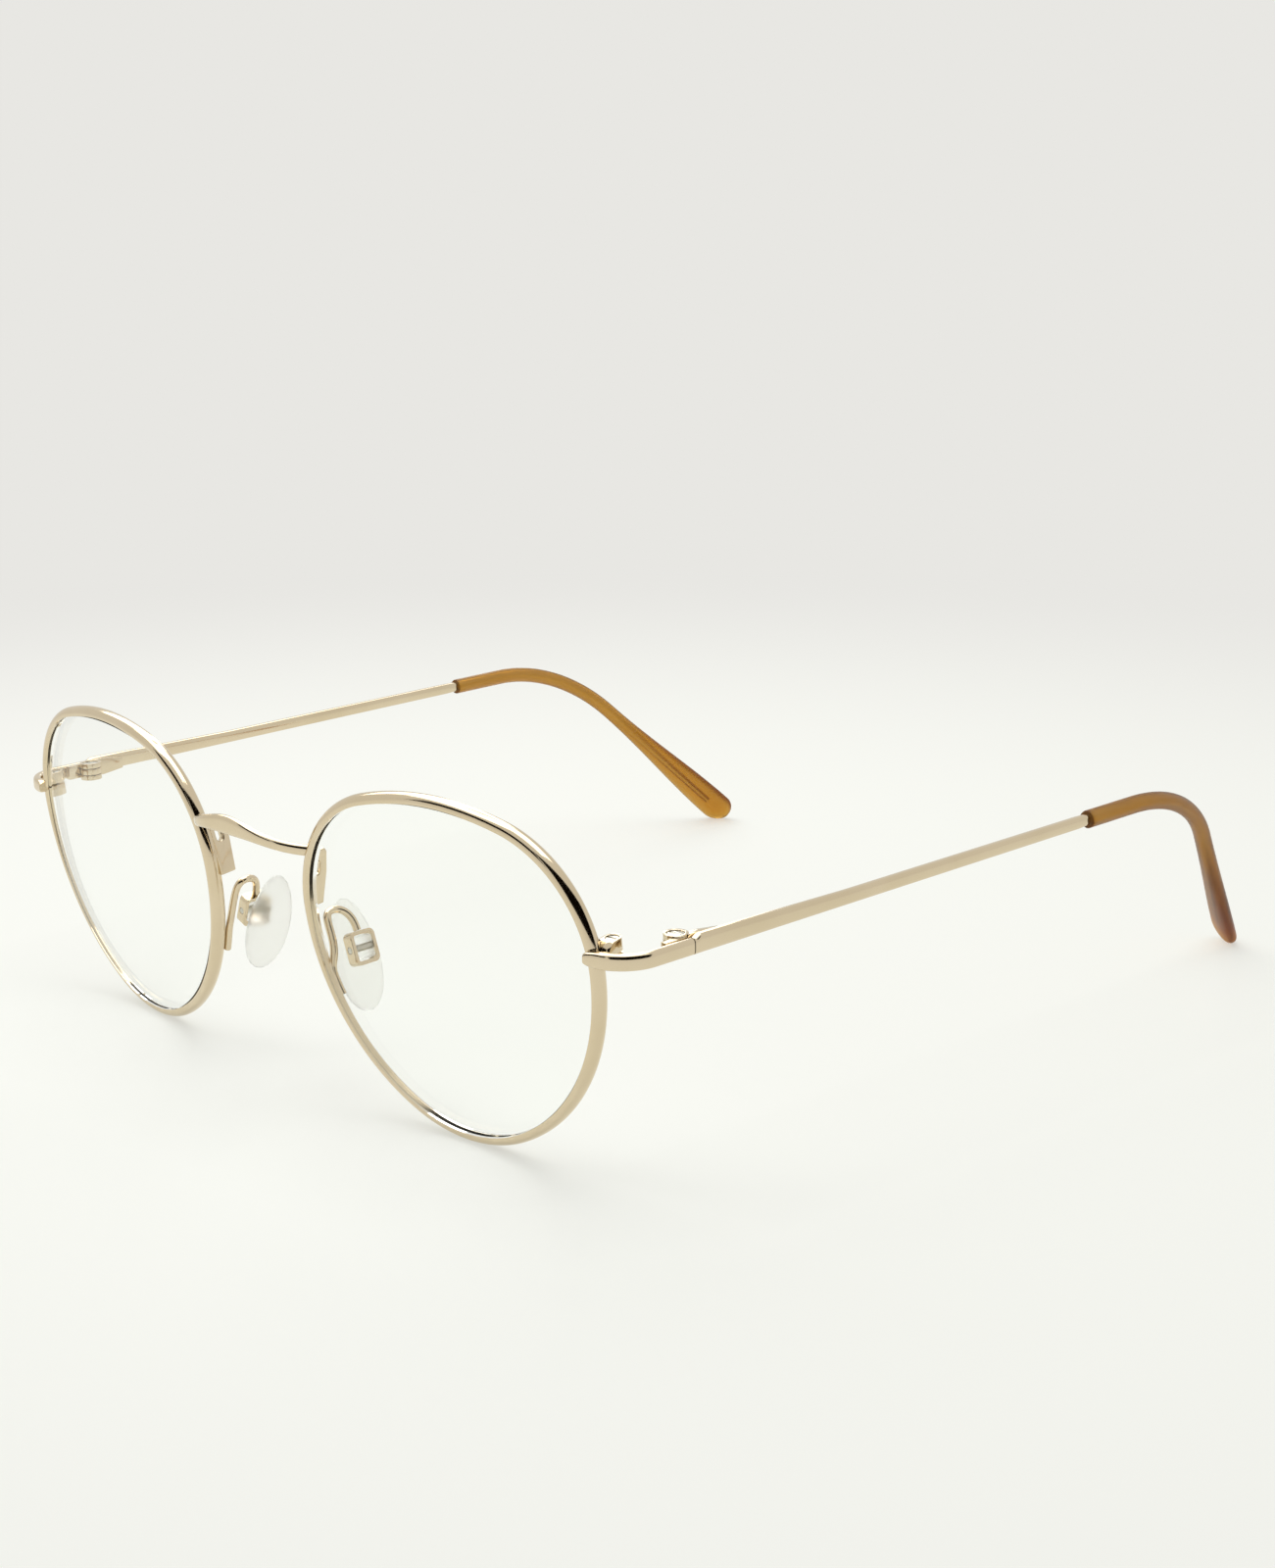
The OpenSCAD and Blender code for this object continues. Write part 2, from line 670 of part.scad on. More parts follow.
// Leaf and middle barrel brazed to the temple
module temple_hinge() {
    mid = mid_barrel_h / 2;
    in_temple() difference() {
        union() {
            at_axis() translate([0, 0, -mid]) cylinder(h = mid_barrel_h, r = barrel_r);
            translate([-strap_t / 2 - solder - leaf_t, hinge_y, -mid])
                cube([leaf_t - face_gap, axis_ahead + leaf_t, mid_barrel_h]);
            difference() {
                translate([-strap_t / 2 - solder, seam_gap / 2, 0])
                    rotate([0, -90, 0])
                        linear_extrude(leaf_t)
                            polygon([
                                [-hinge_h / 2, 0], [hinge_h / 2, 0],
                                [hinge_h / 2, temple_leaf_l * 0.4], [bar_end_h / 2, temple_leaf_l],
                                [-bar_end_h / 2, temple_leaf_l], [-hinge_h / 2, temple_leaf_l * 0.4]
                            ]);
                at_axis() barrel_room(mid, hinge_h);
                at_axis() barrel_room(-hinge_h, -mid);
            }
        }
        at_axis() translate([0, 0, -hinge_h]) cylinder(h = 2 * hinge_h, r = hinge_bore_r);
    }
}

module hinge_screw() {
    head_h = head_sink - face_gap - solder;
    in_temple() at_axis()
        translate([0, 0, hinge_h / 2 - face_gap])
            slotted_screw(hinge_screw_d, hinge_h - 2 * face_gap, hinge_head_d, head_h);
}

// Temple bar: a flat bar that slims towards the tip and runs on inside it as a core wire
core_end = temple_l - end_round - 2 * core_d;
function bar_ring(s, h, t, square = strap_square, rise = 0) =
    ring([0, s, rise], [0, 0, h / 2], [t / 2, 0, 0], square);
core_flat = [core_d * 1.25, core_d * 1.1];
bar_slim_at = tip_start * 0.35;
bar_end_at = tip_start * 0.97;
core_stations = [
    (bend_start + tip_start) / 2,
    for (i = [0:bend_steps]) bend_start + bend_l * i / bend_steps,
    core_end
];
module temple() {
    in_temple() skin(concat(
        [
            bar_ring(seam_gap / 2, strap_h, strap_t),
            bar_ring(shoulder_l, shoulder_h, strap_t, rise = (shoulder_h - strap_h) / 2),
            bar_ring(bar_slim_at, (strap_h + bar_end_h) / 2, (strap_t + bar_end_t) / 2),
            bar_ring(bar_end_at, bar_end_h, bar_end_t),
            bar_ring(tip_start + core_d, core_flat.x, core_flat.y, 2)
        ],
        [for (s = core_stations) path_ring(s, core_d / 2, core_d / 2)]
    ));
}

// Moulded tip, bored to slip over the end of the bar and its core
module temple_tip() {
    in_temple() difference() {
        skin(tip_rings);
        skin(concat(
            [
                bar_ring(tip_start - core_d, bar_end_h + 2 * solder, bar_end_t + 2 * solder),
                bar_ring(tip_start + core_d, core_flat.x + 3 * solder, core_flat.y + 3 * solder, 2)
            ],
            [for (s = core_stations) path_ring(s, core_d / 2 + solder, core_d / 2 + solder)],
            [path_ring(core_end + 4 * solder, core_d / 2 + solder, core_d / 2 + solder)]
        ));
    }
}

// Bridge: the arch over the nose and, on each rim, a strap end with its foot
module bridge() {
    difference() {
        union() {
            skin(concat(
                [for (i = [arch_steps:-1:1]) [for (p = arch_half[i]) [-p.x, p.y, p.z]]],
                arch_half
            ));
            bridge_foot();
            right() bridge_foot();
        }
        inner_rim_space(solder);
        right() inner_rim_space(solder);
    }
}

// Flat foot in the rim's frame: it runs back beside the rim, down behind a U gap, and onto the rim
module bridge_foot() {
    sunk = bridge_t * 0.3;
    deep = wire_r + foot_gap + leg_w;
    slot_r = foot_gap / 2;
    slot_top = bridge_h - bridge_end_h * 0.7;
    slot_low = slot_top - 2 * foot_gap;
    low = slot_low - foot_h;
    lean = atan2(corner_r - sqrt(corner_r ^ 2 - bridge_h ^ 2), bridge_h);
    translate(rim_at(inner_corner, 180, rim_out + solder, 0))
        rotate([90, 0, 90 + wrap])
            rotate([lean, 0, 0])
                translate([0, 0, -sunk])
                    linear_extrude(bridge_t)
                        difference() {
                            union() {
                                hull() {
                                    translate([-foot_front, slot_top]) square([foot_front, bridge_end_h]);
                                    translate([deep - slot_r, slot_top + slot_r]) circle(r = slot_r);
                                    translate([deep - slot_r, slot_top]) square([slot_r, slot_r]);
                                }
                                translate([wire_r / 2, low])
                                    square([deep - wire_r / 2, slot_top + slot_r - low]);
                            }
                            hull() {
                                translate([wire_r + slot_r, slot_top - slot_r]) circle(r = slot_r);
                                translate([wire_r + slot_r, slot_low + slot_r]) circle(r = slot_r);
                            }
                        }
}

// Pad arm wire
module pad_arm() {
    last = len(arm_points) - 1;
    skin([
        for (i = [0:last])
            let (
                d = unit(arm_points[min(i + 1, last)] - arm_points[max(i - 1, 0)]),
                across = unit(cross(d, [1, 0, 0])),
                side = cross(across, d)
            )
            ring(arm_points[i], across * arm_r, -side * arm_r, 2, 10)
    ]);
}

// Moves to the pad screw's axis at the middle of the box
module at_pin() {
    translate([box_x, -box_ahead, box_up]) children();
}

// Rectangular ring that holds the pad's lug
// Rounded block of the box's outline, drawn in by an inset
module box_ring(deep, inset) {
    rotate([0, 90, 0])
        linear_extrude(deep, center = true)
            hull()
                for (z = [-1, 1], y = [-1, 1])
                    translate([z * (box_h / 2 - box_round), y * (box_w / 2 - box_round)])
                        circle(r = box_round - inset);
}

module pad_box() {
    in_pad() at_pin() difference() {
        box_ring(box_d, 0);
        box_ring(2 * box_d, box_wall);
        rotate([90, 0, 0]) cylinder(h = 2 * box_w, r = pin_r + solder, center = true);
    }
}

module pad_screw() {
    in_pad() at_pin() rotate([90, 0, 0]) cylinder(h = box_w - solder, r = pin_r, center = true);
}

// Soft oval pad with a domed face, and the lug that rocks on the pad screw
pad_levels = [
    [1, 0.8], [0.72, 0.95], [0.2, 1], [-0.35, 0.95], [-0.72, 0.78], [-0.93, 0.5], [-1, 0.2]
];
pad_sides = 24;
pad_taper = 0.12;
function pad_ring(level, size) = [
    for (i = [0:pad_sides - 1])
        let (a = i * 360 / pad_sides, narrow = 1 - pad_taper * cos(a))
        [level * pad_t / 2, size * narrow * pad_w / 2 * sin(a), size * pad_h / 2 * cos(a)]
];
module nose_pad() {
    in_pad() {
        skin([for (l = pad_levels) pad_ring(l[0], l[1])]);
        difference() {
            union() {
                intersection() {
                    at_pin() cube([box_d, lug_w, 2 * lug_r], center = true);
                    at_pin() rotate([90, 0, 0]) cylinder(h = 2 * lug_w, r = lug_r, center = true);
                }
                translate([pad_t / 4, -box_ahead - lug_w / 2, box_up - neck_h / 2])
                    cube([box_x - pad_t / 4, lug_w, neck_h]);
            }
            at_pin() rotate([90, 0, 0]) cylinder(h = 2 * box_w, r = pin_r + running, center = true);
        }
    }
}

module left_rim() { color(gold) laid() rim(); }
module right_rim() { color(gold) laid() right() rim(); }
module left_lens() { color(clear) laid() lens(); }
module right_lens() { color(clear) laid() right() lens(); }
module whole_bridge() { color(gold) laid() bridge(); }
module left_upper_block() { color(gold) laid() upper_block(); }
module right_upper_block() { color(gold) laid() right() upper_block(); }
module left_lower_block() { color(gold) laid() lower_block(); }
module right_lower_block() { color(gold) laid() right() lower_block(); }
module left_rim_screw() { color(screw_steel) laid() rim_screw(); }
module right_rim_screw() { color(screw_steel) laid() right() rim_screw(); }
module left_endpiece() { color(gold) laid() endpiece(); }
module right_endpiece() { color(gold) laid() right() endpiece(); }
module left_front_hinge() { color(gold) laid() front_hinge(); }
module right_front_hinge() { color(gold) laid() right() front_hinge(); }
module left_hinge_screw() { color(screw_steel) laid() hinge_screw(); }
module right_hinge_screw() { color(screw_steel) laid() right() hinge_screw(); }
module left_temple_hinge() { color(gold) laid() temple_hinge(); }
module right_temple_hinge() { color(gold) laid() right() temple_hinge(); }
module left_temple() { color(gold) laid() temple(); }
module right_temple() { color(gold) laid() right() temple(); }
module left_temple_tip() { color(amber) laid() temple_tip(); }
module right_temple_tip() { color(amber) laid() right() temple_tip(); }
module left_pad_arm() { color(gold) laid() pad_arm(); }
module right_pad_arm() { color(gold) laid() right() pad_arm(); }
module left_pad_box() { color(gold) laid() pad_box(); }
module right_pad_box() { color(gold) laid() right() pad_box(); }
module left_pad_screw() { color(screw_steel) laid() pad_screw(); }
module right_pad_screw() { color(screw_steel) laid() right() pad_screw(); }
module left_nose_pad() { color(silicone) laid() nose_pad(); }
module right_nose_pad() { color(silicone) laid() right() nose_pad(); }

left_rim();
right_rim();
left_lens();
right_lens();
whole_bridge();  // bridge
left_upper_block();
right_upper_block();
left_lower_block();
right_lower_block();
left_rim_screw();
right_rim_screw();
left_endpiece();
right_endpiece();
left_front_hinge();
right_front_hinge();
left_hinge_screw();
right_hinge_screw();
left_temple_hinge();
right_temple_hinge();
left_temple();
right_temple();
left_temple_tip();
right_temple_tip();
left_pad_arm();
right_pad_arm();
left_pad_box();
right_pad_box();
left_pad_screw();
right_pad_screw();
left_nose_pad();
right_nose_pad();
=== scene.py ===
import json
import math

import bmesh
import bpy
from mathutils import Matrix, Vector


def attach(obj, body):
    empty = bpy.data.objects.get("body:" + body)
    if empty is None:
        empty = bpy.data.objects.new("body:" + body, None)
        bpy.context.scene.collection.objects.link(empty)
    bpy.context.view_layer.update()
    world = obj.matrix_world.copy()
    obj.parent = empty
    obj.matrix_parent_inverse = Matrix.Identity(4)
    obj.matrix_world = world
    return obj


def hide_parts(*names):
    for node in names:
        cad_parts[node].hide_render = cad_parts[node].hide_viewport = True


# Round metal eyeglasses lying open on a pale table.
# Sizes are millimetres and degrees, in the front's own frame: X to the side, Y to the back and
# Z up from the widest line of the lenses. Every left piece is drawn there, settled on the table
# in metres, and mirrored for the right side. A value that ends in ROUND holds the first and the
# last angle of a rounded end.

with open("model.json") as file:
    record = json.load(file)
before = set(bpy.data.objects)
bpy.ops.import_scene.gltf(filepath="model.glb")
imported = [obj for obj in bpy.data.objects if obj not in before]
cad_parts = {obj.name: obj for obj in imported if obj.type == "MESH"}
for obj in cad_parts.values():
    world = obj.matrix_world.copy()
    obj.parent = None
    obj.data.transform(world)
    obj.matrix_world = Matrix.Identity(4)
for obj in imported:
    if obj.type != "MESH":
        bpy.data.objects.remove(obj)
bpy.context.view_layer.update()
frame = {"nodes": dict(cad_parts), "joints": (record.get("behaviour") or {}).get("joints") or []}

# Camera, at the photograph's viewing angle
CAMERA_AT = (241.13, -242.42, 110.1)
CAMERA_TURN = (76.615, -0.152, 45.143)
CAMERA_LENS = 53.57
CAMERA_SENSOR = 36
CAMERA_NEAR = 10

# Lenses and rims; BEVEL_SHARE is the share of a lens's thickness in front of its bevel
LENS_W = 48
LENS_H = 44
BROW_H = 17.5
TOP_R = 46
BASE_HALF = 26.8
LENS_T = 2
LENS_CURVE = 125
LENS_INDEX = 1.5
BEVEL_SHARE = 0.4
NOSE_GAP = 21
WRAP = 5.5
RIM_D = 2
RIM_T = 1.3
GROOVE_D = 0.55
GROOVE_W = 1
LENS_FIT = 0.04
JOINT_H = 2.2
JOINT_GAP = 0.3

# Endpieces and hinges
STRAP_H = 2
STRAP_T = 1.25
STRAP_BITE = STRAP_T * 0.28
STRAP_BEND_R = 5
STRAP_TURN = 75
STRAP_RISE = 0.4
STRAP_LEAD = 2.1
STRAP_RUN = 6
STRAP_SQUARE = 3.2
STRAP_END_SHARE = 0.55
STRAP_ROUND = (10, 80)
BARREL_D = 3
AXIS_AHEAD = 0.4
FACE_GAP = 0.08
SEAM_GAP = 0.14

# Temples and tips; SLIM_SHARE and BAR_SHARE are places on the bar, as shares of its run to the tip
TEMPLE_L = 146
TEMPLE_PITCH = 6.5
TEMPLE_SPLAY = 1.6
SHOULDER_H = 2.4
SHOULDER_L = 1.2
BAR_END_H = 1.7
BAR_END_T = 1.3
SLIM_SHARE = 0.35
BAR_SHARE = 0.97
CORE_D = 1.2
CORE_ROOT_H = 1.5
CORE_ROOT_T = 1.32
TIP_START = 75.5
TIP_EDGE = 0.15
TIP_MOUTH = 1
BEND_START = 86
BEND_R = 32
BEND_TURN = 48
BEND_ROLL = 21.5
TIP_D = 2.4
TIP_SQUARE = 2.3
PADDLE_W = 6
PADDLE_T = 2.5
PADDLE_TWIST = 18
TIP_ROUND = (6, 89.5)
END_FLAT = 0.35
END_LEAST = 0.02

# Bridge; the foot's drop and lip are shares of the bridge's height at its ends, FOOT_BACK of the
# gap's radius and FOOT_SUNK of the bridge's thickness
BRIDGE_H = 7
ARCH_RISE = 2.3
ARCH_BOW = 3.2
ARCH_SQUARE = 2.6
BRIDGE_T = 1.1
BRIDGE_MID_H = 2.6
BRIDGE_END_H = 1.5
FLAT_TO = 0.75
BRIDGE_AHEAD = 0.4
FOOT_OVER = 0.04
FOOT_DROP = 0.7
FOOT_LIP = 0.75
FOOT_BACK = 0.87
FOOT_SUNK = 0.3
FOOT_H = 4.4
FOOT_GAP = 1
FOOT_FRONT = 0.4
LEG_W = 1
FOOT_STEP = 0.3
FOOT_TURN = 7
FOOT_EDGE_R = 0.22
SOLDER = 0.03

# Nose pads and their arms; LUG_NECK is a share of the lug's radius
PAD_H = 15
PAD_W = 6.8
PAD_T = 2
PAD_TAPER = 0.12
PAD_ROUND = (62, -86)
PAD_FULLNESS = 0.42
PAD_LEAN = 19.5
PAD_SPLAY = -4
PAD_TILT = 7
PAD_AT = (9.8, 4.5, -9.5)
ARM_D = 1
ARM_TUCK = 75
ARM_LOW = 12.2
ARM_HIGH = 8.8
ARM_IN = 1.95
ARM_BOW = 1.5
BOW_SHARE = 0.55
ARM_EASING = 6
LOOP_REACH = 1.9
ARM_LOOP = 3.3
BOX_H = 4.4
BOX_W = 3.8
BOX_D = 1.6
BOX_WALL = 0.5
BOX_UP = 0.8
BOX_AHEAD = 0.9
BOX_OFF = 1
LUG_GAP = 0.15
LUG_NECK = 0.8
LUG_EDGE_R = 0.3

# Fineness of the meshes: points round a section, steps along a piece, and the rings of a lens as
# shares of its outline
WIRE_SIDES = 40
BAR_SIDES = 48
ARM_SIDES = 24
ARC_STEPS = 40
LENS_STEPS = 24
LENS_RINGS = (0.02, 0.1, 0.25, 0.4, 0.55, 0.7, 0.82, 0.92, 1)
ARCH_STEPS = 72
ARCH_NEAR = 0.01
SLOT_STEPS = 12
STRAP_STEPS = 24
STRAP_END_STEPS = 10
SHOULDER_STEPS = 6
CORE_STEPS = 20
TIP_RUN_STEPS = 6
TIP_BEND_STEPS = 30
PADDLE_STEPS = 20
TIP_END_STEPS = 14
ARM_FOOT_STEPS = 8
ARM_STEPS = 28
PAD_STEPS = 22
LUG_STEPS = 10

# Edges: the radius that breaks a machined one, the steps of a rounding, the angles past which an
# edge stays sharp, and how near points and flat faces are before they are merged
EDGE_R = 0.07
EDGE_STEPS = 3
SOFT_STEPS = 4
SHARP = 35
LENS_SHARP = 25
SOFT_SHARP = 50
MERGE_GAP = 0.001
FLAT_ANGLE = 0.5


def cos(degrees):
    return math.cos(math.radians(degrees))


def sin(degrees):
    return math.sin(math.radians(degrees))


def tan(degrees):
    return math.tan(math.radians(degrees))


def moved(place):
    return Matrix.Translation(place)


def turned(degrees, axis):
    return Matrix.Rotation(math.radians(degrees), 4, axis)


def between(first, last, steps):
    """Evenly spaced values from first to last."""
    return [first + (last - first) * i / steps for i in range(steps + 1)]


def eased(share):
    """0 to 1 with a gentle start and end."""
    share = min(max(share, 0), 1)
    return share * share * (3 - 2 * share)


# Outline of a lens: six arcs that meet smoothly, each (centre u, centre v, radius, first, last)
HALF_W = LENS_W / 2
DROP_H = LENS_H - BROW_H
SIDE_TURN = 90 - BASE_HALF
CORNER_R = (2 * TOP_R * BROW_H - HALF_W**2 - BROW_H**2) / (2 * (TOP_R - HALF_W))
BASE_R = (HALF_W - DROP_H * tan(SIDE_TURN / 2)) / (1 - tan(SIDE_TURN / 2))
SIDE_R = BASE_R + (DROP_H - BASE_R) / sin(SIDE_TURN)
TOP_HALF = math.degrees(math.atan2(HALF_W - CORNER_R, TOP_R - BROW_H))
OUTER_CORNER = (HALF_W - CORNER_R, 0, CORNER_R, 0, 90 - TOP_HALF)
TOP_ARC = (0, BROW_H - TOP_R, TOP_R, 90 - TOP_HALF, 90 + TOP_HALF)
INNER_CORNER = (CORNER_R - HALF_W, 0, CORNER_R, 90 + TOP_HALF, 180)
INNER_SIDE = (SIDE_R - HALF_W, 0, SIDE_R, 180, 180 + SIDE_TURN)
BASE_ARC = (0, BASE_R - DROP_H, BASE_R, 180 + SIDE_TURN, 360 - SIDE_TURN)
OUTER_SIDE = (HALF_W - SIDE_R, 0, SIDE_R, 360 - SIDE_TURN, 360)
OUTLINE = [OUTER_CORNER, TOP_ARC, INNER_CORNER, INNER_SIDE, BASE_ARC, OUTER_SIDE]

# Rim section, measured outwards from the lens bevel
RIM_IN = LENS_FIT - GROOVE_D
RIM_OUT = RIM_IN + RIM_T
WIRE_R = RIM_D / 2
WIRE_MID = RIM_OUT - WIRE_R
JOINT_ANGLE = math.degrees(math.asin(JOINT_H / CORNER_R))
JOINT_HALF = math.degrees(JOINT_GAP / 2 / CORNER_R)
LENS_CX = (NOSE_GAP + LENS_W) / 2

# The frame of one rim: X along its width, Y up and Z to the front
IN_RIM = moved((LENS_CX, 0, 0)) @ turned(WRAP, "Z") @ turned(90, "X")


def on_arc(arc, angle, out, front):
    """A point by the outline, in the rim's frame."""
    reach = arc[2] + out
    return Vector((arc[0] + reach * cos(angle), arc[1] + reach * sin(angle), front))


def by_rim(arc, angle, out, back):
    return IN_RIM @ on_arc(arc, angle, out, -back)


# The frame of the temple: origin at the seam, Y back along the bar
STRAP_REACH = Vector((
    -STRAP_BEND_R * (1 - cos(STRAP_TURN)) - STRAP_LEAD * sin(STRAP_TURN),
    -STRAP_RUN - STRAP_BEND_R * sin(STRAP_TURN) - STRAP_LEAD * cos(STRAP_TURN),
    0,
))
TEMPLE_TURN = turned(-TEMPLE_SPLAY, "Z") @ turned(-TEMPLE_PITCH, "X")
STRAP_END = by_rim(OUTER_CORNER, JOINT_ANGLE, RIM_IN, STRAP_BITE - WIRE_R - STRAP_T / 2)
SEAM = STRAP_END + Vector((0, 0, STRAP_RISE)) - TEMPLE_TURN @ STRAP_REACH
IN_TEMPLE = moved(SEAM) @ TEMPLE_TURN

# The frame of the nose pad
PAD_AXES = turned(-PAD_SPLAY, "Z") @ turned(-PAD_LEAN, "Y") @ turned(-PAD_TILT, "X")
IN_PAD = moved(PAD_AT) @ PAD_AXES

# How the front lies on the table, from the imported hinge: its axis gives the tilt and its
# place the shift
MM = 0.001
HINGE_AT = Vector((-STRAP_T / 2 - FACE_GAP - BARREL_D / 2, -AXIS_AHEAD, 0))
fold = next(joint for joint in frame["joints"] if joint["name"] == "left_temple_fold")
drawn_axis = TEMPLE_TURN @ Vector((0, 0, 1))
tilt = math.atan2(drawn_axis.y, drawn_axis.z) - math.atan2(fold["axis"][1], fold["axis"][2])
TILTED = Matrix.Rotation(tilt, 4, "X")
SHIFT = Vector(fold["pos_m"]) / MM - TILTED @ (IN_TEMPLE @ HINGE_AT)
LAID = Matrix.Scale(MM, 4) @ moved((0, SHIFT.y, SHIFT.z)) @ TILTED
MIRROR = Matrix.Scale(-1, 4, (1, 0, 0))


# Modelling helpers
def set_ring(piece, ring):
    """Moves the selected points of a piece that is being edited onto the ring, in order."""
    mesh = bmesh.from_edit_mesh(piece.data)
    for point, place in zip([v for v in mesh.verts if v.select], ring):
        point.co = place
    bmesh.update_edit_mesh(piece.data)


def draw_out(name, rings):
    """Draws a bar out of its first ring: each next ring is extruded and set to its place."""
    bpy.ops.object.select_all(action="DESELECT")
    bpy.ops.mesh.primitive_circle_add(vertices=len(rings[0]), fill_type="NGON")
    piece = bpy.context.object
    piece.name = name
    bpy.ops.object.mode_set(mode="EDIT")
    set_ring(piece, rings[0])
    for ring in rings[1:]:
        bpy.ops.mesh.extrude_region_move()
        set_ring(piece, ring)
    outwards(piece)
    return piece


def outwards(piece):
    """Turns all faces outwards and leaves edit mode."""
    bpy.context.view_layer.objects.active = piece
    bpy.ops.object.mode_set(mode="EDIT")
    bpy.ops.mesh.select_all(action="SELECT")
    bpy.ops.mesh.normals_make_consistent(inside=False)
    bpy.ops.object.mode_set(mode="OBJECT")


def select_only(piece):
    bpy.ops.object.select_all(action="DESELECT")
    piece.select_set(True)
    bpy.context.view_layer.objects.active = piece


def shaded(piece, sharp=SHARP):
    """Smooth faces, with edges kept where they turn by more than the sharp angle."""
    select_only(piece)
    bpy.ops.object.shade_smooth_by_angle(angle=math.radians(sharp))
    return piece


def applied(piece, kind, **settings):
    """Adds one modifier with its settings and applies it."""
    modifier = piece.modifiers.new(kind.title(), kind)
    for name, value in settings.items():
        setattr(modifier, name, value)
    select_only(piece)
    bpy.ops.object.modifier_apply(modifier=modifier.name)
    return piece


def settled(piece, place=Matrix.Identity(4)):
    """Puts a piece drawn in millimetres where it lies on the table, in metres."""
    select_only(piece)
    piece.matrix_world = LAID @ place
    bpy.ops.object.transform_apply(location=True, rotation=True, scale=True)
    return piece


def mirrored(piece, name):
    """A copy on the other side, with its own mesh."""
    twin = bpy.data.objects.new(name, piece.data.copy())
    bpy.context.scene.collection.objects.link(twin)
    select_only(twin)
    twin.matrix_world = MIRROR
    bpy.ops.object.transform_apply(location=True, rotation=True, scale=True)
    outwards(twin)
    return twin


def broken_edges(piece, radius, steps):
    """Rounds the sharp edges of a piece by a small radius."""
    return applied(
        piece, "BEVEL", width=radius, segments=steps, limit_method="ANGLE",
        angle_limit=math.radians(SHARP),
    )


def node_copy(node, name):
    """A copy of a machined CAD piece, made one skin, with its edges broken."""
    piece = bpy.data.objects.new(name, frame["nodes"][node].data.copy())
    bpy.context.scene.collection.objects.link(piece)
    piece.data.materials.clear()
    select_only(piece)
    bpy.ops.mesh.customdata_custom_splitnormals_clear()
    bpy.ops.object.mode_set(mode="EDIT")
    bpy.ops.mesh.select_all(action="SELECT")
    bpy.ops.mesh.remove_doubles(threshold=MERGE_GAP * MM)
    bpy.ops.mesh.dissolve_limited(angle_limit=math.radians(FLAT_ANGLE))
    bpy.ops.object.mode_set(mode="OBJECT")
    return shaded(broken_edges(piece, EDGE_R * MM, EDGE_STEPS))


def ellipse(middle, up, side, square=2, sides=BAR_SIDES):
    """A ring round a point, spanned by two half axes; 2 is an ellipse, more is boxier."""
    ring = []
    for i in range(sides):
        c, s = cos(i * 360 / sides), sin(i * 360 / sides)
        ring.append(
            middle
            + up * math.copysign(abs(c) ** (2 / square), c)
            + side * math.copysign(abs(s) ** (2 / square), s)
        )
    return ring


# Colours and nodes
def linear(code):
    """Linear red, green, blue and 1 from an sRGB hex value."""
    parts = [int(code[i : i + 2], 16) / 255 for i in (1, 3, 5)]
    return [*(c / 12.92 if c <= 0.04045 else ((c + 0.055) / 1.055) ** 2.4 for c in parts), 1]


def add_node(tree, kind, inputs, **settings):
    """Adds a node with its settings; an input that is given as a socket is linked."""
    node = tree.nodes.new(kind)
    for name, value in settings.items():
        setattr(node, name, value)
    for name, value in inputs.items():
        if isinstance(value, bpy.types.NodeSocket):
            tree.links.new(value, node.inputs[name])
        else:
            node.inputs[name].default_value = value
    return node


def new_material(name):
    """An empty node material and its node tree."""
    material = bpy.data.materials.new(name)
    material.use_nodes = True
    material.node_tree.nodes.clear()
    return material, material.node_tree


def per_mm(size):
    """Texture scale on coordinates in metres for a pattern of that size in millimetres."""
    return 1 / (size * MM)


def polished_gold():
    """Champagne gold plating, buffed: a pale warm mirror with a faint polishing haze."""
    material, tree = new_material("polished_champagne_gold")
    where = add_node(tree, "ShaderNodeTexCoord", {}).outputs["Object"]
    cloud = add_node(tree, "ShaderNodeTexNoise", {"Vector": where, "Scale": per_mm(9), "Detail": 2})
    tone = add_node(
        tree, "ShaderNodeMix",
        {"Factor": cloud.outputs["Fac"], "A": linear("#e2d2b7"), "B": linear("#d3c2a2")},
        data_type="RGBA",
    )
    haze = add_node(tree, "ShaderNodeTexNoise", {"Vector": where, "Scale": per_mm(1.5), "Detail": 4})
    rough = add_node(
        tree, "ShaderNodeMapRange",
        {"Value": haze.outputs["Fac"], "To Min": 0.06, "To Max": 0.16},
    )
    # buffing marks are far finer than a pixel, so they are drawn a third of a millimetre wide
    marks = add_node(tree, "ShaderNodeTexNoise", {"Vector": where, "Scale": per_mm(0.35), "Detail": 2})
    bump = add_node(
        tree, "ShaderNodeBump",
        {"Height": marks.outputs["Fac"], "Strength": 0.03, "Distance": 0.01 * MM},
    )
    skin = add_node(
        tree, "ShaderNodeBsdfPrincipled",
        {
            "Base Color": tone.outputs["Result"], "Metallic": 1.0,
            "Roughness": rough.outputs["Result"], "Normal": bump.outputs["Normal"],
        },
    )
    add_node(tree, "ShaderNodeOutputMaterial", {"Surface": skin.outputs["BSDF"]})
    return material


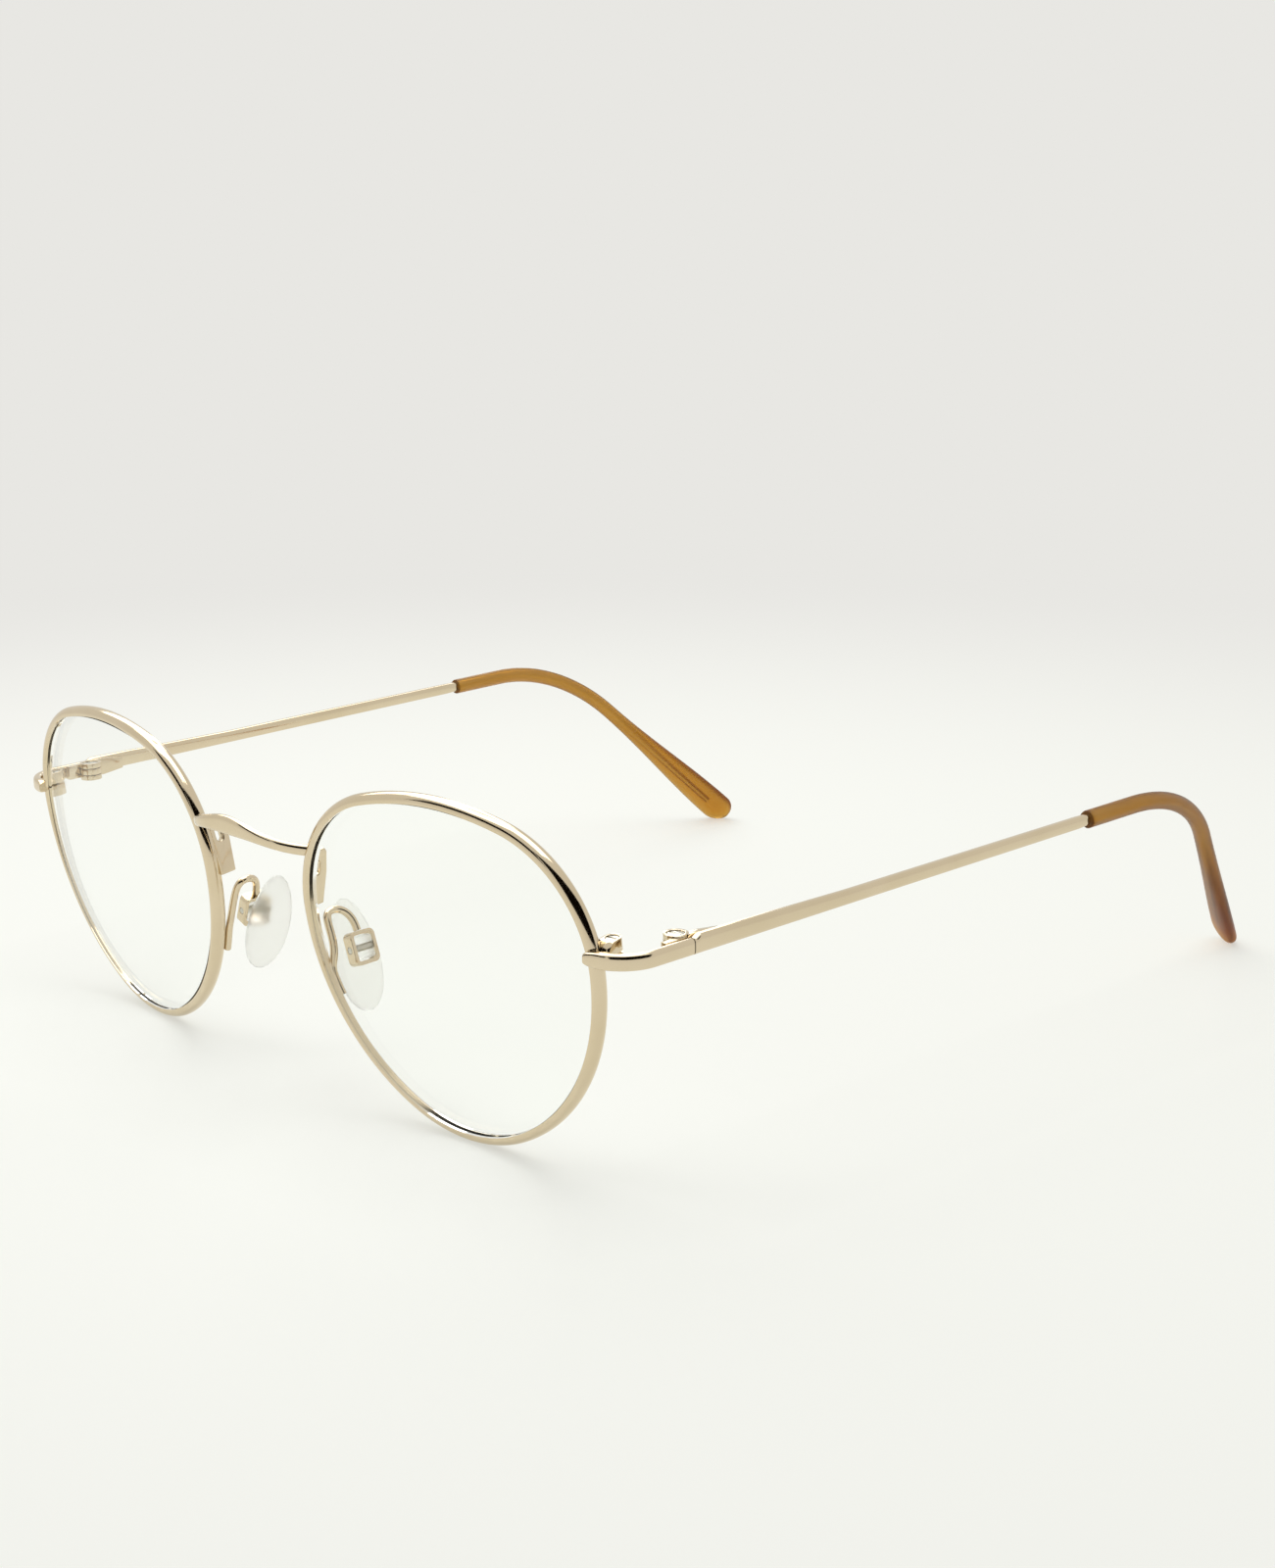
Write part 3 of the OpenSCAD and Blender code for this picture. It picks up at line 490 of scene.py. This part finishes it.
def plated_steel():
    """Nickel-plated steel of the screws: a cooler, slightly duller metal with turning marks."""
    material, tree = new_material("nickel_plated_steel")
    where = add_node(tree, "ShaderNodeTexCoord", {}).outputs["Object"]
    marks = add_node(tree, "ShaderNodeTexNoise", {"Vector": where, "Scale": per_mm(0.4), "Detail": 3})
    rough = add_node(
        tree, "ShaderNodeMapRange",
        {"Value": marks.outputs["Fac"], "To Min": 0.14, "To Max": 0.3},
    )
    tone = add_node(
        tree, "ShaderNodeMix",
        {"Factor": marks.outputs["Fac"], "A": linear("#d6d2c6"), "B": linear("#bdb9ac")},
        data_type="RGBA",
    )
    skin = add_node(
        tree, "ShaderNodeBsdfPrincipled",
        {
            "Base Color": tone.outputs["Result"], "Metallic": 1.0,
            "Roughness": rough.outputs["Result"],
        },
    )
    add_node(tree, "ShaderNodeOutputMaterial", {"Surface": skin.outputs["BSDF"]})
    return material


def optical_resin():
    """Coated optical resin of the lenses: clear, hardly mirroring, with faint wiping marks."""
    material, tree = new_material("clear_optical_resin")
    where = add_node(tree, "ShaderNodeTexCoord", {}).outputs["Object"]
    wipes = add_node(tree, "ShaderNodeTexNoise", {"Vector": where, "Scale": per_mm(14), "Detail": 3})
    rough = add_node(
        tree, "ShaderNodeMapRange",
        {"Value": wipes.outputs["Fac"], "To Min": 0.0, "To Max": 0.02},
    )
    # the coating stops most mirroring, so the IOR is matched far under the bare resin's 1.5
    skin = add_node(
        tree, "ShaderNodeBsdfPrincipled",
        {
            "Base Color": linear("#fdfefd"), "Transmission Weight": 1.0, "IOR": 1.15,
            "Roughness": rough.outputs["Result"],
        },
    )
    add_node(tree, "ShaderNodeOutputMaterial", {"Surface": skin.outputs["BSDF"]})
    return material


def clear_silicone():
    """Moulded silicone of the nose pads: clear, a little milky, with a soft sheen."""
    material, tree = new_material("clear_silicone")
    where = add_node(tree, "ShaderNodeTexCoord", {}).outputs["Object"]
    cloud = add_node(tree, "ShaderNodeTexNoise", {"Vector": where, "Scale": per_mm(2.5), "Detail": 3})
    rough = add_node(
        tree, "ShaderNodeMapRange",
        {"Value": cloud.outputs["Fac"], "To Min": 0.44, "To Max": 0.56},
    )
    tone = add_node(
        tree, "ShaderNodeMix",
        {"Factor": cloud.outputs["Fac"], "A": linear("#fdfdfb"), "B": linear("#f6f6f2")},
        data_type="RGBA",
    )
    # the IOR is matched and lower than silicone's own, about 1.41
    skin = add_node(
        tree, "ShaderNodeBsdfPrincipled",
        {
            "Base Color": tone.outputs["Result"], "Transmission Weight": 0.95, "IOR": 1.18,
            "Roughness": rough.outputs["Result"],
        },
    )
    add_node(tree, "ShaderNodeOutputMaterial", {"Surface": skin.outputs["BSDF"]})
    return material


def amber_acetate():
    """Amber cellulose acetate of the tips: translucent, deeper where it is thicker."""
    material, tree = new_material("amber_acetate")
    where = add_node(tree, "ShaderNodeTexCoord", {}).outputs["Object"]
    swirl = add_node(
        tree, "ShaderNodeTexNoise",
        {"Vector": where, "Scale": per_mm(11), "Detail": 2, "Distortion": 0.6},
    )
    tone = add_node(
        tree, "ShaderNodeMix",
        {"Factor": swirl.outputs["Fac"], "A": linear("#fde6a8"), "B": linear("#f6d888")},
        data_type="RGBA",
    )
    # the IOR is matched and lower than acetate's own, about 1.48
    skin = add_node(
        tree, "ShaderNodeBsdfPrincipled",
        {
            "Base Color": tone.outputs["Result"], "Transmission Weight": 0.97, "IOR": 1.33,
            "Roughness": 0.36,
        },
    )
    depth = add_node(
        tree, "ShaderNodeVolumeAbsorption", {"Color": linear("#e8cf5c"), "Density": 1100.0}
    )
    add_node(
        tree, "ShaderNodeOutputMaterial",
        {"Surface": skin.outputs["BSDF"], "Volume": depth.outputs["Volume"]},
    )
    return material


GOLD = polished_gold()
STEEL = plated_steel()
RESIN = optical_resin()
SILICONE = clear_silicone()
AMBER = amber_acetate()


def placed(piece, node, body, finish):
    """Gives a finished piece its material and its body, and hides the CAD node that it stands for."""
    piece.data.materials.clear()
    piece.data.materials.append(finish)
    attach(piece, body)
    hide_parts(node)


def placed_pair(piece, node, body, finish):
    """Places a left piece, and its mirror image on the right."""
    twin = shaded(mirrored(piece, piece.name.replace("left", "right")))
    for side, one in (("left", piece), ("right", twin)):
        own_body = body if body == "front" else f"{side}_{body}"
        placed(one, f"{side}_{node}", own_body, finish)


# Rims and lenses
def rim():
    """Grooved wire: its section is swept round the outline from one end of the joint to the other."""
    flat = math.degrees(math.acos((RIM_IN - WIRE_MID) / WIRE_R))
    section = [
        (WIRE_MID + WIRE_R * cos(a), WIRE_R * sin(a)) for a in between(-flat, flat, WIRE_SIDES)
    ]
    section += [(RIM_IN, GROOVE_W / 2), (LENS_FIT, 0), (RIM_IN, -GROOVE_W / 2)]
    first = (*OUTER_CORNER[:3], JOINT_ANGLE + JOINT_HALF, OUTER_CORNER[4])
    last = (*OUTER_CORNER[:3], 360, 360 + JOINT_ANGLE - JOINT_HALF)
    arcs = [first, *OUTLINE[1:], last]
    rings = []
    for arc in arcs:
        steps = max(2, round((arc[4] - arc[3]) * ARC_STEPS / 90))
        for angle in between(arc[3], arc[4], steps)[bool(rings) :]:
            rings.append([on_arc(arc, angle, out, front) for out, front in section])
    return shaded(settled(draw_out("left_rim_wire", rings), IN_RIM))


def lens():
    """Meniscus lens: its skin runs from the middle of the front over the bevel to the back."""
    edge = LENS_FIT - RIM_IN
    flank = GROOVE_W / 2 * edge / GROOVE_D
    middle = Vector((0, BROW_H - LENS_H / 2, 0))
    mean_r = (LENS_W + LENS_H) / 4
    apex = mean_r**2 / (2 * LENS_CURVE) + LENS_T * BEVEL_SHARE
    # with this back a lens of that index has no power of its own
    back_r = LENS_CURVE - LENS_T * (LENS_INDEX - 1) / LENS_INDEX

    def outline(inset):
        points = []
        for arc in OUTLINE:
            points += [on_arc(arc, a, -inset, 0) for a in between(arc[3], arc[4], LENS_STEPS)[:-1]]
        return points

    def dished(share, radius, top):
        ring = [middle + (p - middle) * share for p in outline(edge)]
        for p in ring:
            p.z = top - radius + math.sqrt(radius**2 - (p - middle).xy.length_squared)
        return ring

    rings = [dished(share, LENS_CURVE, apex) for share in LENS_RINGS]
    for inset, level in ((edge, flank), (0, 0), (edge, -flank)):
        rings.append([p + Vector((0, 0, level)) for p in outline(inset)])
    rings += [dished(share, back_r, apex - LENS_T) for share in reversed(LENS_RINGS)]
    return shaded(settled(draw_out("left_lens_blank", rings), IN_RIM), LENS_SHARP)


# Bridge
BRIDGE_ANGLE = 180 - math.degrees(math.asin(BRIDGE_H / CORNER_R))
BRIDGE_ROOT = by_rim(INNER_CORNER, BRIDGE_ANGLE, RIM_OUT + BRIDGE_T / 2 + SOLDER, -BRIDGE_AHEAD)


def arch(share):
    """A point on the arch, from -1 at the right rim to 1 at the left one."""
    return Vector((
        BRIDGE_ROOT.x * share,
        BRIDGE_ROOT.y - ARCH_BOW * (1 - share**4),
        BRIDGE_ROOT.z + ARCH_RISE * (1 - share**2),
    ))


def arch_bar():
    """Wire hammered flat in the middle of its arch, and round again at the rims."""
    rings = []
    for share in between(-1 - FOOT_OVER, 1 + FOOT_OVER, ARCH_STEPS):
        ahead = arch(share + ARCH_NEAR) - arch(share - ARCH_NEAR)
        side = ahead.cross((0, 0, 1)).normalized()
        slim = eased(abs(share) / FLAT_TO)
        up = Vector((0, 0, BRIDGE_MID_H + (BRIDGE_END_H - BRIDGE_MID_H) * slim)) / 2
        rings.append(ellipse(arch(share), up, side * BRIDGE_T / 2, ARCH_SQUARE))
    return draw_out("bridge_arch", rings)


def prism(name, outline, low, high):
    """A plate with the given outline between two levels."""
    return draw_out(name, [[Vector((x, y, level)) for x, y in outline] for level in (low, high)])


def rounded_end(x, y, radius, first):
    """Half circle of outline points round a centre, anticlockwise from the first angle."""
    turns = between(first, first + 180, SLOT_STEPS)
    return [(x + radius * cos(a), y + radius * sin(a)) for a in turns]


def bridge_foot():
    """Foot plate beside the rim: it runs back, and down behind a U gap onto the rim."""
    slot_r = FOOT_GAP / 2
    deep = WIRE_R + FOOT_STEP + FOOT_GAP + LEG_W
    slot_x = WIRE_R + FOOT_STEP + slot_r
    top = BRIDGE_H - BRIDGE_END_H * FOOT_DROP
    slot_low = top - 2 * FOOT_GAP
    low = slot_low - FOOT_H
    outline = [
        (-FOOT_FRONT, top + BRIDGE_END_H * FOOT_LIP), (WIRE_R / 2, top + BRIDGE_END_H / 2),
        (WIRE_R / 2, low), (deep - LEG_W / 2, low), (deep, slot_low), (deep, top + FOOT_GAP),
        (deep - slot_r / 2, top + FOOT_GAP + slot_r * FOOT_BACK),
        (0, top + BRIDGE_END_H), (-FOOT_FRONT, top + BRIDGE_END_H),
    ]
    sunk = BRIDGE_T * FOOT_SUNK
    plate = prism("bridge_foot", outline, -sunk, BRIDGE_T - sunk)
    ends = rounded_end(slot_x, top - slot_r, slot_r, 0)
    ends += rounded_end(slot_x, slot_low + slot_r, slot_r, 180)
    slot = prism("bridge_slot", ends, -BRIDGE_T, 2 * BRIDGE_T)
    applied(plate, "BOOLEAN", object=slot, operation="DIFFERENCE", solver="EXACT")
    bpy.data.objects.remove(slot)
    broken_edges(plate, FOOT_EDGE_R, SOFT_STEPS)
    lean = math.degrees(
        math.atan2(CORNER_R - math.sqrt(CORNER_R**2 - BRIDGE_H**2), BRIDGE_H)
    )
    root = by_rim(INNER_CORNER, 180, RIM_OUT + SOLDER, 0)
    axes = turned(90 + WRAP - FOOT_TURN, "Z") @ turned(90, "X") @ turned(lean, "X")
    return settled(plate, moved(root) @ axes)


def bridge():
    """Arch with a foot on each rim, as one soldered piece."""
    piece = settled(arch_bar())
    foot = bridge_foot()
    other = mirrored(foot, "bridge_foot_right")
    select_only(piece)
    foot.select_set(True)
    other.select_set(True)
    bpy.ops.object.join()
    return shaded(piece)


# Endpieces, temples and tips
def strap_ring(place, turn, half_h=STRAP_H / 2):
    side = Vector((cos(turn), -sin(turn), 0)) * STRAP_T / 2
    return ellipse(place, Vector((0, 0, half_h)), side, STRAP_SQUARE)


def endpiece():
    """Strap from the seam round its bend to the rounded end on the rim."""
    rings = [strap_ring(Vector((0, y, 0)), 0) for y in (-SEAM_GAP / 2, -SEAM_GAP, -STRAP_RUN / 2)]
    for turn in between(0, STRAP_TURN, STRAP_STEPS):
        bend = Vector((STRAP_BEND_R * (cos(turn) - 1), -STRAP_RUN - STRAP_BEND_R * sin(turn), 0))
        rings.append(strap_ring(bend, turn))
    lead = Vector((-sin(STRAP_TURN), -cos(STRAP_TURN), 0)) * STRAP_LEAD
    for a in between(*STRAP_ROUND, STRAP_END_STEPS):
        half_h = STRAP_H / 2 * (STRAP_END_SHARE + (1 - STRAP_END_SHARE) * cos(a))
        rings.append(strap_ring(STRAP_REACH - lead * (1 - sin(a)), STRAP_TURN, half_h))
    return shaded(settled(draw_out("left_endpiece_strap", rings), IN_TEMPLE))


BEND_L = math.radians(BEND_TURN) * BEND_R
PATH_SIDE = Vector((cos(BEND_ROLL), 0, -sin(BEND_ROLL)))
PADDLE_START = BEND_START + BEND_L
END_ROUND = PADDLE_W / 2


def bend_at(s):
    return min(max(math.degrees((s - BEND_START) / BEND_R), 0), BEND_TURN)


def path(s):
    """Middle line of the temple at a distance from the seam: straight, ear bend, straight."""
    past = max(s - PADDLE_START, 0)
    along = min(s, BEND_START) + BEND_R * sin(bend_at(s)) + past * cos(BEND_TURN)
    fall = BEND_R * (1 - cos(bend_at(s))) + past * sin(BEND_TURN)
    return Vector((-fall * sin(BEND_ROLL), along, -fall * cos(BEND_ROLL)))


def path_up(s):
    a = bend_at(s)
    return Vector((cos(a) * sin(BEND_ROLL), sin(a), cos(a) * cos(BEND_ROLL)))


def temple():
    """Flat bar: a shoulder behind the seam, slimming to a core wire that runs on inside the tip."""
    bars = [(SEAM_GAP / 2, STRAP_H, STRAP_T, 0)]
    for share in between(0, 1, SHOULDER_STEPS):
        rise = (SHOULDER_H - STRAP_H) * eased(share)
        s = SEAM_GAP + (SHOULDER_L - SEAM_GAP) * share
        bars.append((s, STRAP_H + rise, STRAP_T, rise / 2))
    bars += [
        (TIP_START * SLIM_SHARE, (STRAP_H + BAR_END_H) / 2, (STRAP_T + BAR_END_T) / 2, 0),
        (TIP_START * BAR_SHARE, BAR_END_H, BAR_END_T, 0),
    ]
    rings = [
        ellipse(Vector((0, s, up)), Vector((0, 0, h / 2)), Vector((t / 2, 0, 0)), STRAP_SQUARE)
        for s, h, t, up in bars
    ]
    core_up = Vector((0, 0, CORE_ROOT_H / 2))
    core_side = Vector((CORE_ROOT_T / 2, 0, 0))
    rings.append(ellipse(path(TIP_START + CORE_D), core_up, core_side))
    stations = [*between(BEND_START, PADDLE_START, CORE_STEPS), TEMPLE_L - END_ROUND - 2 * CORE_D]
    for s in stations:
        rings.append(ellipse(path(s), path_up(s) * CORE_D / 2, PATH_SIDE * CORE_D / 2))
    return shaded(settled(draw_out("left_temple_bar", rings), IN_TEMPLE))


def tip_ring(s, shrink=0):
    """Ring of the tip at a distance from the seam, widening to the paddle and its rounded end."""
    widen = eased((s - PADDLE_START) / (TEMPLE_L - END_ROUND - PADDLE_START))
    f = max((s - TEMPLE_L + END_ROUND) / END_ROUND, 0)
    cap = math.sqrt(max(1 - f * f, 0))
    half_w = (TIP_D + (PADDLE_W - TIP_D) * widen) / 2 * cap - shrink
    half_t = (TIP_D + (PADDLE_T - TIP_D) * widen) / 2 * (END_FLAT + (1 - END_FLAT) * cap) - shrink
    thin = path_up(s) * cos(PADDLE_TWIST) + PATH_SIDE * sin(PADDLE_TWIST)
    wide = PATH_SIDE * cos(PADDLE_TWIST) - path_up(s) * sin(PADDLE_TWIST)
    return ellipse(path(s), thin * half_t, wide * max(half_w, END_LEAST), TIP_SQUARE)


def temple_tip():
    """Moulded sleeve with the ear bend and the paddle end."""
    rings = [
        tip_ring(TIP_START, TIP_EDGE), tip_ring(TIP_START + TIP_EDGE / 3, TIP_EDGE / 3),
        tip_ring(TIP_START + TIP_EDGE),
    ]
    stations = between(TIP_START + TIP_MOUTH, BEND_START, TIP_RUN_STEPS)
    stations += between(BEND_START, PADDLE_START, TIP_BEND_STEPS)[1:]
    stations += between(PADDLE_START, TEMPLE_L - END_ROUND, PADDLE_STEPS)[1:]
    turns = between(*TIP_ROUND, TIP_END_STEPS)
    stations += [TEMPLE_L - END_ROUND + END_ROUND * sin(a) for a in turns]
    rings += [tip_ring(s) for s in stations]
    return shaded(settled(draw_out("left_tip_sleeve", rings), IN_TEMPLE), SOFT_SHARP)


# Nose pads
BOX_X = PAD_T / 2 + BOX_OFF + BOX_D / 2
BOX_TOP = IN_PAD @ Vector((BOX_X, -BOX_AHEAD, BOX_UP + BOX_H / 2 + 2 * SOLDER))


def bezier(a, b, c, d, f):
    return a * (1 - f) ** 3 + 3 * b * f * (1 - f) ** 2 + 3 * c * f**2 * (1 - f) + d * f**3


def pad_arm():
    """Wire whose foot lies along the rim; it rises, loops over and drops to the pad box."""
    off = WIRE_R + ARM_D / 2 + SOLDER
    out, back = WIRE_MID + off * cos(ARM_TUCK), off * sin(ARM_TUCK)
    low = 180 + math.degrees(math.asin(ARM_LOW / SIDE_R))
    high = 180 + math.degrees(math.asin(ARM_HIGH / SIDE_R))
    points = [by_rim(INNER_SIDE, a, out, back) for a in between(low, high, ARM_FOOT_STEPS)]
    leave = points[-1]
    peak = Vector((leave.x - ARM_IN, (leave.y + BOX_TOP.y) / 2, BOX_TOP.z + ARM_LOOP))
    reach = Vector((0, LOOP_REACH, 0))
    leg_top = peak - reach - Vector((0, 0, LOOP_REACH / 2))
    box_up = PAD_AXES @ Vector((0, 0, LOOP_REACH))
    leg_bow = leave.lerp(leg_top, BOW_SHARE) + Vector((ARM_BOW, ARM_BOW, 0))
    steps = between(0, 1, ARM_STEPS)[1:]
    points += [bezier(leave, leg_bow, peak - reach, peak, f) for f in steps]
    points += [bezier(peak, peak + reach, BOX_TOP + box_up, BOX_TOP, f) for f in steps]
    for _ in range(ARM_EASING):
        inner = [(a + 2 * b + c) / 4 for a, b, c in zip(points, points[1:], points[2:])]
        points = [points[0], *inner, points[-1]]
    rings = []
    for i, point in enumerate(points):
        ahead = points[min(i + 1, len(points) - 1)] - points[max(i - 1, 0)]
        up = ahead.cross((1, 0, 0)).normalized()
        side = up.cross(ahead).normalized()
        rings.append(ellipse(point, up * ARM_D / 2, side * ARM_D / 2, sides=ARM_SIDES))
    return shaded(settled(draw_out("left_pad_arm_wire", rings)))


def pad_oval():
    """Soft oval with a domed face."""
    rings = []
    for a in between(*PAD_ROUND, PAD_STEPS):
        level = sin(a) / sin(PAD_ROUND[0]) if a > 0 else sin(a)
        size = cos(a) ** PAD_FULLNESS
        ring = []
        for i in range(BAR_SIDES):
            c, s = cos(i * 360 / BAR_SIDES), sin(i * 360 / BAR_SIDES)
            width = (1 - PAD_TAPER * c) * PAD_W / 2
            ring.append(Vector((level * PAD_T / 2, size * width * s, size * PAD_H / 2 * c)))
        rings.append(ring)
    return draw_out("left_pad_oval", rings)


def pad_lug():
    """Lug that fills the box, on a neck that stands on the pad's back."""
    lug_r = BOX_H / 2 - BOX_WALL - LUG_GAP
    half_w = BOX_W / 2 - BOX_WALL - LUG_GAP
    neck = lug_r * LUG_NECK
    half_d = BOX_D / 2
    corner = math.degrees(math.acos(half_d / lug_r))
    turns = between(corner, 180 - corner, LUG_STEPS)
    profile = [(BOX_X + lug_r * cos(a), lug_r * sin(a)) for a in turns]
    profile += [(BOX_X - half_d, neck), (PAD_T / 4, neck), (PAD_T / 4, -neck), (BOX_X - half_d, -neck)]
    profile += [(x, -z) for x, z in reversed(profile[: len(turns)])]
    rings = [
        [Vector((x, y - BOX_AHEAD, z + BOX_UP)) for x, z in profile] for y in (-half_w, half_w)
    ]
    return broken_edges(draw_out("left_pad_lug", rings), LUG_EDGE_R, SOFT_STEPS)


def nose_pad():
    """Oval and lug, moulded in one."""
    piece = pad_oval()
    lug = pad_lug()
    applied(piece, "BOOLEAN", object=lug, operation="UNION", solver="EXACT")
    bpy.data.objects.remove(lug)
    return shaded(settled(piece, IN_PAD), SOFT_SHARP)


# Making the pieces
placed_pair(rim(), "rim", "front", GOLD)
placed_pair(lens(), "lens", "front", RESIN)
placed(bridge(), "bridge", "front", GOLD)
placed_pair(endpiece(), "endpiece", "front", GOLD)
placed_pair(temple(), "temple", "temple_body", GOLD)
placed_pair(temple_tip(), "temple_tip", "temple_body", AMBER)
placed_pair(pad_arm(), "pad_arm", "front", GOLD)
placed_pair(nose_pad(), "nose_pad", "pad_body", SILICONE)
for node, name, body, finish in (
    ("upper_block", "block_top", "front", GOLD),
    ("lower_block", "block_base", "front", GOLD),
    ("front_hinge", "hinge_leaf_front", "front", GOLD),
    ("temple_hinge", "hinge_leaf_temple", "temple_body", GOLD),
    ("pad_box", "pad_clip", "front", GOLD),
    ("rim_screw", "block_screw", "front", STEEL),
    ("hinge_screw", "hinge_pin", "front", STEEL),
    ("pad_screw", "pad_pin", "front", STEEL),
):
    placed_pair(node_copy(f"left_{node}", f"left_{name}"), node, body, finish)


# Studio, in metres: pale table, soft lamps above, behind and to the left, and dark cards that the
# metal mirrors. A lamp or a card is (azimuth, elevation, width, height), with its angles as seen
# from the object, and a lamp's power in watts comes last.
FLOOR_SIZE = 12
FLOOR_SHOWN = 0.55
FADE_FROM, FADE_TO = 0.07, 0.42
NEAR_TONE = "#fafbf5"
FAR_TONE = "#e8e7e3"
ROOM_LIGHT = 0.32
LAMP_AWAY = 0.85
LAMPS = (
    (0, 90, 0.7, 0.7, 3),
    (162, 47, 0.8, 0.46, 2.6),
    (222, 56, 0.42, 0.42, 1.25),
    (137, 19, 0.09, 0.15, 0.1),
)
CARD_AWAY = 0.75
CARDS = ((-30, 21, 1.6, 0.68), (-106, 20, 0.56, 0.26))


def seen_straight(tree):
    """1 for rays from the camera, a mirror or a lens, and 0 for light that falls on things."""
    ray = add_node(tree, "ShaderNodeLightPath", {})
    total = ray.outputs["Is Camera Ray"]
    for kind in ("Is Glossy Ray", "Is Transmission Ray"):
        total = add_node(
            tree, "ShaderNodeMath", {0: total, 1: ray.outputs[kind]}, operation="MAXIMUM"
        ).outputs[0]
    return total


def floor():
    """Matt white table top that fades to the pale grey of the room."""
    bpy.ops.object.select_all(action="DESELECT")
    bpy.ops.mesh.primitive_plane_add(size=FLOOR_SIZE)
    top = bpy.context.object
    top.name = "table_top"
    material, tree = new_material("matt_white_table")
    where = add_node(tree, "ShaderNodeTexCoord", {}).outputs["Object"]
    far = add_node(tree, "ShaderNodeVectorMath", {0: where}, operation="LENGTH").outputs["Value"]
    fade = add_node(
        tree, "ShaderNodeMapRange", {"Value": far, "From Min": FADE_FROM, "From Max": FADE_TO},
        interpolation_type="SMOOTHSTEP",
    ).outputs["Result"]
    tone = add_node(
        tree, "ShaderNodeMix",
        {"Factor": fade, "A": linear(NEAR_TONE), "B": linear(FAR_TONE)}, data_type="RGBA",
    ).outputs["Result"]
    matt = add_node(tree, "ShaderNodeBsdfDiffuse", {"Color": tone})
    shown = add_node(tree, "ShaderNodeEmission", {"Color": tone, "Strength": 1.0})
    share = add_node(
        tree, "ShaderNodeMapRange", {"Value": fade, "To Min": FLOOR_SHOWN, "To Max": 1.0}
    ).outputs["Result"]
    share = add_node(
        tree, "ShaderNodeMath", {0: seen_straight(tree), 1: share}, operation="MULTIPLY"
    ).outputs[0]
    both = add_node(
        tree, "ShaderNodeMixShader",
        {"Fac": share, 1: matt.outputs["BSDF"], 2: shown.outputs["Emission"]},
    )
    add_node(tree, "ShaderNodeOutputMaterial", {"Surface": both.outputs["Shader"]})
    top.data.materials.append(material)


def world_light():
    """Pale surroundings, shown at full strength and softer as light."""
    world = bpy.data.worlds.new("pale_room")
    bpy.context.scene.world = world
    world.use_nodes = True
    tree = world.node_tree
    tree.nodes.clear()
    strength = add_node(
        tree, "ShaderNodeMapRange",
        {"Value": seen_straight(tree), "To Min": ROOM_LIGHT, "To Max": 1.0},
    ).outputs["Result"]
    glow = add_node(
        tree, "ShaderNodeBackground", {"Color": linear(FAR_TONE), "Strength": strength}
    )
    add_node(tree, "ShaderNodeOutputWorld", {"Surface": glow.outputs["Background"]})


def seen_at(azimuth, elevation, away):
    """A place round the object, and the turn that faces it."""
    side = away * cos(elevation)
    place = Vector((side * cos(azimuth), side * sin(azimuth), away * sin(elevation)))
    return place, (-place).to_track_quat("-Z", "Y").to_euler()


def soft_lamps():
    for azimuth, elevation, width, height, power in LAMPS:
        lamp = bpy.data.lights.new("soft_lamp", "AREA")
        lamp.shape = "RECTANGLE"
        lamp.size, lamp.size_y = width, height
        lamp.energy = power
        light = bpy.data.objects.new("soft_lamp", lamp)
        bpy.context.scene.collection.objects.link(light)
        light.location, light.rotation_euler = seen_at(azimuth, elevation, LAMP_AWAY)
        light.visible_camera = False


def dark_cards():
    """Black cards round the camera, which polished metal mirrors as dark lines."""
    material, tree = new_material("black_card")
    matt = add_node(tree, "ShaderNodeBsdfDiffuse", {"Color": linear("#15100b")})
    add_node(tree, "ShaderNodeOutputMaterial", {"Surface": matt.outputs["BSDF"]})
    for azimuth, elevation, width, height in CARDS:
        bpy.ops.object.select_all(action="DESELECT")
        bpy.ops.mesh.primitive_plane_add(size=1)
        card = bpy.context.object
        card.name = "dark_card"
        card.location, card.rotation_euler = seen_at(azimuth, elevation, CARD_AWAY)
        card.scale = (width, height, 1)
        card.data.materials.append(material)
        card.visible_camera = False
        card.visible_diffuse = False
        card.visible_shadow = False
        card.visible_transmission = False


def camera():
    eye = bpy.data.cameras.new("camera")
    eye.lens = CAMERA_LENS
    eye.sensor_width = CAMERA_SENSOR
    eye.clip_start = CAMERA_NEAR * MM
    shot = bpy.data.objects.new("camera", eye)
    bpy.context.scene.collection.objects.link(shot)
    shot.location = Vector(CAMERA_AT) * MM
    shot.rotation_euler = [math.radians(a) for a in CAMERA_TURN]
    bpy.context.scene.camera = shot


floor()
world_light()
soft_lamps()
dark_cards()
camera()
bpy.context.scene.view_settings.view_transform = "Standard"
